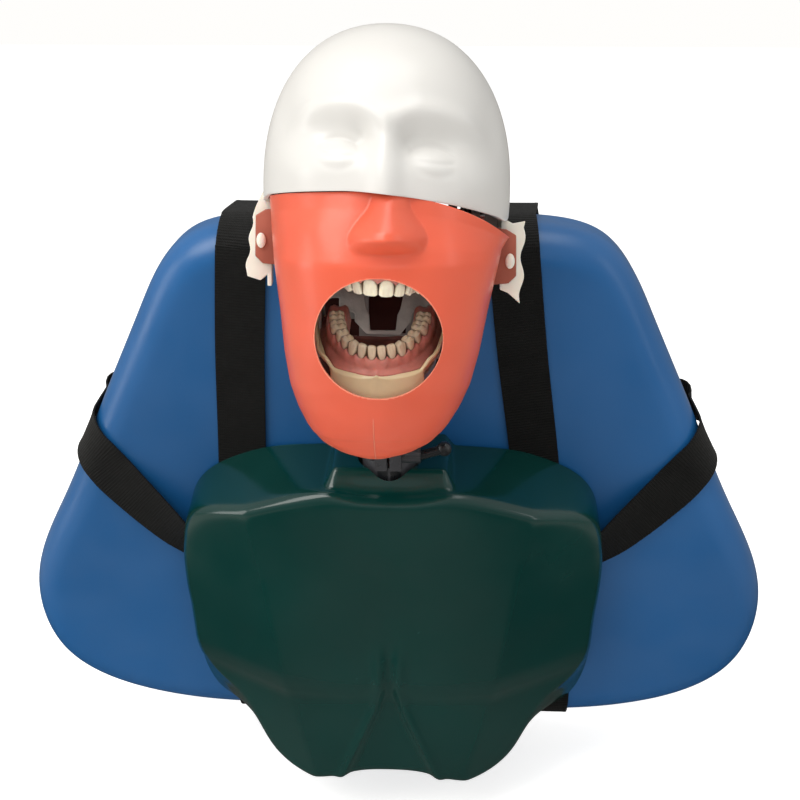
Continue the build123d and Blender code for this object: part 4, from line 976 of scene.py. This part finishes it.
def tooth_grid(size, seed):
    """Crown surface from its biting middle, over the rim and down past the gum line."""
    width, depth, edge, height, cusps = size
    t = np.linspace(0, 2 * pi, 48, endpoint=False)
    power = 0.72
    cu = np.sign(np.cos(t)) * np.abs(np.cos(t)) ** power
    cv = np.sign(np.sin(t)) * np.abs(np.sin(t)) ** power
    rows = []
    for share in np.linspace(0.06, 0.97, 12):
        u, v = cu * share, cv * share
        z = 0.2 + biting_relief(u, v, cusps) + 0.5 * ease(share, 0.8, 1.0)
        rows.append(xyz(u * width * 0.455, v * edge * 0.5, z))
    top = 0.2 + biting_relief(cu, cv, cusps)
    for share in np.linspace(0.07, 1.35, 22):
        w = np.interp(share, [0, 0.25, 0.55, 1.0, 1.4], [0.462, 0.492, 0.478, 0.405, 0.36]) * width
        depths = [edge * 0.53, (edge + depth) * 0.26, depth * 0.5, depth * 0.46, depth * 0.4]
        d = np.interp(share, [0, 0.3, 0.7, 1.0, 1.4], depths)
        z = np.maximum(share * height, top + 0.35) if share < 0.3 else share * height
        rows.append(xyz(cu * w, cv * d, z))
    grid = soften(np.array(rows), 2)
    lobes = 0.16 * np.cos(grid[..., 0] / width * 6 * pi) * ease(0.75 - grid[..., 2] / height, 0, 0.5)
    grid[..., 1] += np.where(grid[..., 1] < 0, -lobes, 0) * (cusps < 2)
    grid[..., 0] += grid[..., 2] * 0.03 * sin(seed * 2.4)
    return turn_z(grid, 0.05 * sin(seed * 1.7))


def turn_z(grid, angle):
    """The grid turned about the Z axis by an angle in radians."""
    x, y, z = np.moveaxis(grid, -1, 0)
    return xyz(x * cos(angle) - y * sin(angle), x * sin(angle) + y * cos(angle), z)


def tooth_set(name, curve, teeth, place, body, material, node_name):
    grids = []
    for i, (size, (_, x, y, heading, _)) in enumerate(zip(teeth, tooth_places(curve, teeth))):
        for side in (-1, 1):
            grid = turn_z(tooth_grid(size, i * 2 + side), heading) + (x, y, 0)
            grids.append(place(grid * (side, 1, 1)))
    return ride(shade(joined(name, grids), 60), body, material, node_name)


def gum_profile(angle, teeth, places):
    """Tooth height, depth and closeness to a gap between teeth, along the arch."""
    a = np.abs(angle)
    centres = [p[0] for p in places]
    height = np.interp(a, centres, [t[3] for t in teeth])
    depth = np.interp(a, centres, [t[1] for t in teeth])
    edges = [0.0] + [p[4] for p in places]
    gap = np.zeros_like(a)
    for low, high in zip(edges, edges[1:]):
        inside = (a >= low) & (a <= high)
        share = (a - low) / (high - low)
        gap = np.where(inside, np.abs(2 * share - 1) ** 2.2, gap)
    return height, depth, gap


def square_corner(angle):
    """How far the lower tray stands out past the tooth curve at its two front corners."""
    return 5.0 * bell(np.abs(angle), 0.74, 0.30)


def gum(name, curve, teeth, place, body, node_name, outer, floor_z, flare=0.0):
    """Gum ridge with a scalloped margin, root bulges and a fold that runs out to the tray."""
    places = tooth_places(curve, teeth)
    end_angle = pi / 2 + ARCH_END / curve[1]
    angle = np.linspace(-end_angle, end_angle, 420)
    height, depth, gap = gum_profile(angle, teeth, places)
    half = depth / 2
    x, y, nx, ny = arch_point(curve, angle)
    margin = height * 0.90 - 2.3 * gap * (np.abs(angle) < places[-1][4])
    bulge = 0.5 * (1 - gap)
    back = ease(np.abs(angle), end_angle - 0.12, end_angle)
    if flare:
        outer = outer + flare * ease(np.abs(x), 20, 28) + square_corner(angle)
    section = [
        (outer, floor_z), (outer - 0.8, floor_z - 0.9), (half + 1.9 + bulge, floor_z - 2.6),
        (half + 1.5 + bulge, margin + 3.6), (half + 0.9 + bulge * 0.6, margin + 1.5),
        (half + 0.35, margin + 0.2), (half - 0.7, margin + 0.1), (0.0, margin + 1.6),
        (-half + 0.7, margin + 0.1), (-half - 0.4, margin + 0.3), (-half - 1.3, margin + 2.2),
        (-half - 1.9, floor_z - 2.0), (-half - 2.4, floor_z),
    ]
    rows = []
    for offset, z in section:
        offset = np.broadcast_to(offset, angle.shape) * (1 - 0.25 * back)
        z = np.broadcast_to(z, angle.shape) + 2.0 * back * (np.broadcast_to(z, angle.shape) < floor_z - 1)
        rows.append(xyz(x + nx * offset, y + ny * offset, z))
    grid = np.array(rows)
    frenum = bell(grid[..., 0], 0, 1.3) * ease(grid[..., 2], 11, 15) * (grid[..., 1] < -30)
    grid[..., 1] -= frenum
    dense = soften(even_rows(grid, 60), 3)
    base = dense[[0, -1]].copy()
    base[..., 2] = floor_z + 0.6
    loop = np.concatenate([base[:1], dense, base[1:]], 0).transpose(1, 0, 2)
    return ride(shade(joined(name, [place(loop)]), 60), body, GUM, node_name)


def lower_tray():
    """Cream tray: an apron under the front teeth that climbs into rim walls beside the molars."""
    a, b = LOWER_CURVE[0] + 10.5, LOWER_CURVE[1] + 8.4
    end = pi / 2 + ARCH_END / b
    angle = np.linspace(-end, end, 360)
    x, y, nx, ny = arch_point((a, b), angle)
    side = np.abs(x)
    wider = 3.6 * ease(side, 24, 31) + square_corner(angle)
    x, y = x + nx * wider, y + ny * wider
    side = np.abs(x)
    heights = [15.0, 16.2, 17.4, 18.0, 17.8, 16.8, 14.0, 11.0, 9.8, 8.5]
    rim = soften(np.interp(side, [0, 1.5, 6, 11, 19, 25.5, 28.5, 31, 35, 40], heights), 3)
    rim += ease(np.abs(angle), end - 0.1, end) * 3
    floor, underside = 16.4, 36.0
    tuck = ease(side, 26.5, 30)
    section = [
        (-16.0, floor), (-5.0, floor), (-2.5, floor), (-2.4, np.minimum(rim + 1.2, floor)),
        (-2.1, np.minimum(rim + 0.35, floor - 0.05)), (-1.6, np.minimum(rim, floor - 0.1)), (-0.6, rim),
        (-0.1, rim + 0.4), (0.0, rim + 1.2), (1.2 - 8.2 * tuck, 24.0), (2.6 - 15 * tuck, 33.0),
        (2.2 - 15 * tuck, underside - 0.8), (1.0 - 15 * tuck, underside), (-12.0, underside),
    ]
    rows = [xyz(x + nx * offset, y + ny * offset, z) for offset, z in section]
    tray = joined("lower_tray", [lower(np.array(rows).transpose(1, 0, 2))])
    return ride(shade(tray, 50), "jaw", TRAY, "lower_arch_base")


def mouth_floor():
    """Plate behind the lower front teeth, with a lip along its rear edge."""
    a, b = LOWER_CURVE[0] - 6.3, LOWER_CURVE[1] - 6.3
    rows, columns = 30, 41
    grid = np.empty((rows, columns, 3))
    for i, y in enumerate(np.linspace(-b + 0.8, FLOOR_REAR, rows)):
        half = a * sqrt(1 - (y / b) ** 2)
        x = np.linspace(-half, half, columns)
        lip = 1.3 * bell(y, FLOOR_REAR, 0.9)
        z = 10.6 - lip + 0.8 * (1 - (x / half) ** 2) + 0.15 * np.sin(y * 1.3 + x * 0.4)
        grid[i] = xyz(x, y, z)
    plate = thicken(sheet("mouth_floor_plate", lower(grid)), 1.2, 0.3)
    return ride(shade(plate), "jaw", FLOOR_RED, "mouth_floor")


def throat_curtain():
    """Dark rubber sheet that hides the neck from the mouth, drawn wide and near-black as painted shade behind
    the mouth.
    """
    rows, columns = 40, 61
    grid = np.empty((rows, columns, 3))
    for i, z in enumerate(np.linspace(-108, -22, rows)):
        half = 46.0 - 6.0 * ease(-z, 90, 108)
        x = np.linspace(-half, half, columns)
        ripple = 0.25 * np.sin(x * 0.35) * ease(np.abs(x), 15, 25)
        y = 23.6 - 15.0 * ease(-z, 58, 108) - 0.9 * ease(np.abs(x), 22, 46) + ripple
        grid[i] = xyz(x, y, z)
    curtain = thicken(sheet("throat_curtain", head(grid)), 1.2, 0.3)
    return ride(shade(curtain), "head", THROAT_RED_AND_SHADE, "throat_guard")


def mouth_frame():
    """Rough cast plate bolted to the chassis behind the mouth: two arms and a thin cross bar."""
    outer = [
        (47, -33), (47.5, -52), (42, -56), (33, -53), (28.5, -52.5), (28, -58), (18.5, -62), (18.2, -67),
        (10.5, -75.5),
    ]
    inner = [(12.2, -33), (12.4, -51), (11.2, -59), (8.8, -63), (8.3, -72.8)]
    outline = [(-x, z) for x, z in outer] + outer[::-1] + inner + [(-x, z) for x, z in inner[::-1]]
    uneven = [(x - 2.5 + 0.35 * sin(z * 1.7 + x), z + 0.3 * sin(x * 1.1)) for x, z in outline]
    plate = rounded_plate("mouth_frame_plate", uneven, 14.6, 16.8, 0.7)
    return ride(to_head(plate), "head", CAST)


def mouth():
    tooth_set("upper_teeth_crowns", UPPER_CURVE, UPPER_TEETH, upper, "head", TOOTH, "upper_teeth")
    tooth_set("lower_teeth_crowns", LOWER_CURVE, LOWER_TEETH, lower, "jaw", LOWER_TOOTH_SHADED, "lower_teeth")
    gum("upper_gum_ridge", UPPER_CURVE, UPPER_TEETH, upper, "head", "upper_gum", 5.0, 15.6)
    gum("lower_gum_ridge", LOWER_CURVE, LOWER_TEETH, lower, "jaw", "lower_gum", 7.2, 15.9, 4.0)
    lower_tray()
    mouth_floor()
    throat_curtain()
    mouth_frame()


# --- Stage
LIGHT_AIM = Vector((0, -0.15, 0.1))


def add_light(name, place, size, power, colour=(1, 1, 1), mirrored=True):
    data = bpy.data.lights.new(name, "AREA")
    data.shape = "RECTANGLE"
    data.size, data.size_y = size
    data.energy = power
    data.color = colour
    light = bpy.data.objects.new(name, data)
    light.location = place
    light.visible_glossy = mirrored
    light.rotation_euler = (LIGHT_AIM - Vector(place)).to_track_quat("-Z", "Y").to_euler()
    bpy.context.scene.collection.objects.link(light)


def stage():
    floor_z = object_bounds()[0][2] - 0.03
    corners = [(-6, -6), (6, -6), (6, 6), (-6, 6)]
    floor = new_object("floor", [(x / MM, y / MM, floor_z / MM) for x, y in corners], [(0, 1, 2, 3)])
    floor.data.materials.append(pale_floor())
    floor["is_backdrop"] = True
    world = bpy.data.worlds.new("studio")
    world.use_nodes = True
    tree = world.node_tree
    x, _, z = axes(tree, node(tree, "TexCoord").outputs["Generated"])
    sky = ramp(tree, z, -0.3, 0.9, 0.10, 0.60)
    walls = ramp(tree, maths(tree, "ABSOLUTE", x), 0.35, 0.9, 0.0, 0.22)
    seen = node(tree, "LightPath").outputs["Is Camera Ray"]
    background = tree.nodes["Background"].inputs
    put(tree, background["Strength"], maths(tree, "MAXIMUM", maths(tree, "ADD", sky, walls), seen))
    put(tree, background["Color"], (1.0, 0.99, 0.97, 1.0))
    bpy.context.scene.world = world
    add_light("window_left", (-1.1, -1.0, 1.8), (1.1, 1.4), 23, (1.0, 0.98, 0.94))
    add_light("window_low", (-1.7, -0.5, 0.35), (0.5, 0.9), 4.5, (1.0, 0.98, 0.95))
    add_light("sky_top", (0.0, -0.3, 2.1), (1.6, 1.2), 13)
    add_light("fill_front", (0.05, -1.1, 0.55), (0.4, 0.3), 2.0, mirrored=False)
    add_light("strip_right", (1.5, -0.8, 0.7), (0.25, 1.2), 1.5)
    bpy.context.scene.view_settings.view_transform = "Standard"


def pale_floor():
    """Backdrop that is nearly white in the picture, but in reflections dark with pale sides."""
    made = finish("floor_pale", (0.90, 0.90, 0.90), 0.9, (3, 0.01), specular=0.1)
    tree = made.node_tree
    inputs = tree.nodes["Principled BSDF"].inputs
    rays = node(tree, "LightPath").outputs
    aside = maths(tree, "ABSOLUTE", axes(tree)[0])
    near = ramp(tree, aside, 0.10, 0.34, 0.15, 0.02)
    far = ramp(tree, aside, 0.46, 0.75, 0.0, 0.34)
    reflected = mix(tree, maths(tree, "ADD", near, far), (0.0, 0.0, 0.0), (1.0, 0.95, 0.86))
    pale = inputs["Base Color"].links[0].from_socket
    put(tree, inputs["Base Color"], mix(tree, rays["Is Glossy Ray"], pale, reflected))
    put(tree, inputs["Emission Color"], (1.0, 1.0, 1.0, 1.0))
    put(tree, inputs["Emission Strength"], ramp(tree, rays["Is Camera Ray"], 0.0, 1.0, 0.0, 0.60))
    return made


def camera():
    """Seen from a little to the right and 23 degrees above, 620 mm from a point in front of the chin."""
    elevation, azimuth = radians(23.4), radians(2.2)
    target = Vector((0.0119, -0.2577, 0.1674))
    back = Vector((sin(azimuth) * cos(elevation), -cos(azimuth) * cos(elevation), sin(elevation)))
    data = bpy.data.cameras.new("camera")
    data.lens = 49.4
    data.sensor_width = 36.0
    data.clip_start = 0.01
    made = bpy.data.objects.new("camera", data)
    made.location = target + back * 0.62
    made.rotation_euler = (-back).to_track_quat("-Z", "Y").to_euler()
    bpy.context.scene.collection.objects.link(made)
    bpy.context.scene.camera = made


dress_cad_nodes()
backrest_pad()
chest_shell()
shoulder_straps()
side_straps()
lower_straps()
skull_cap()
face_mask()
ear_plates()
mask_buttons()
mouth()
stage()
camera()
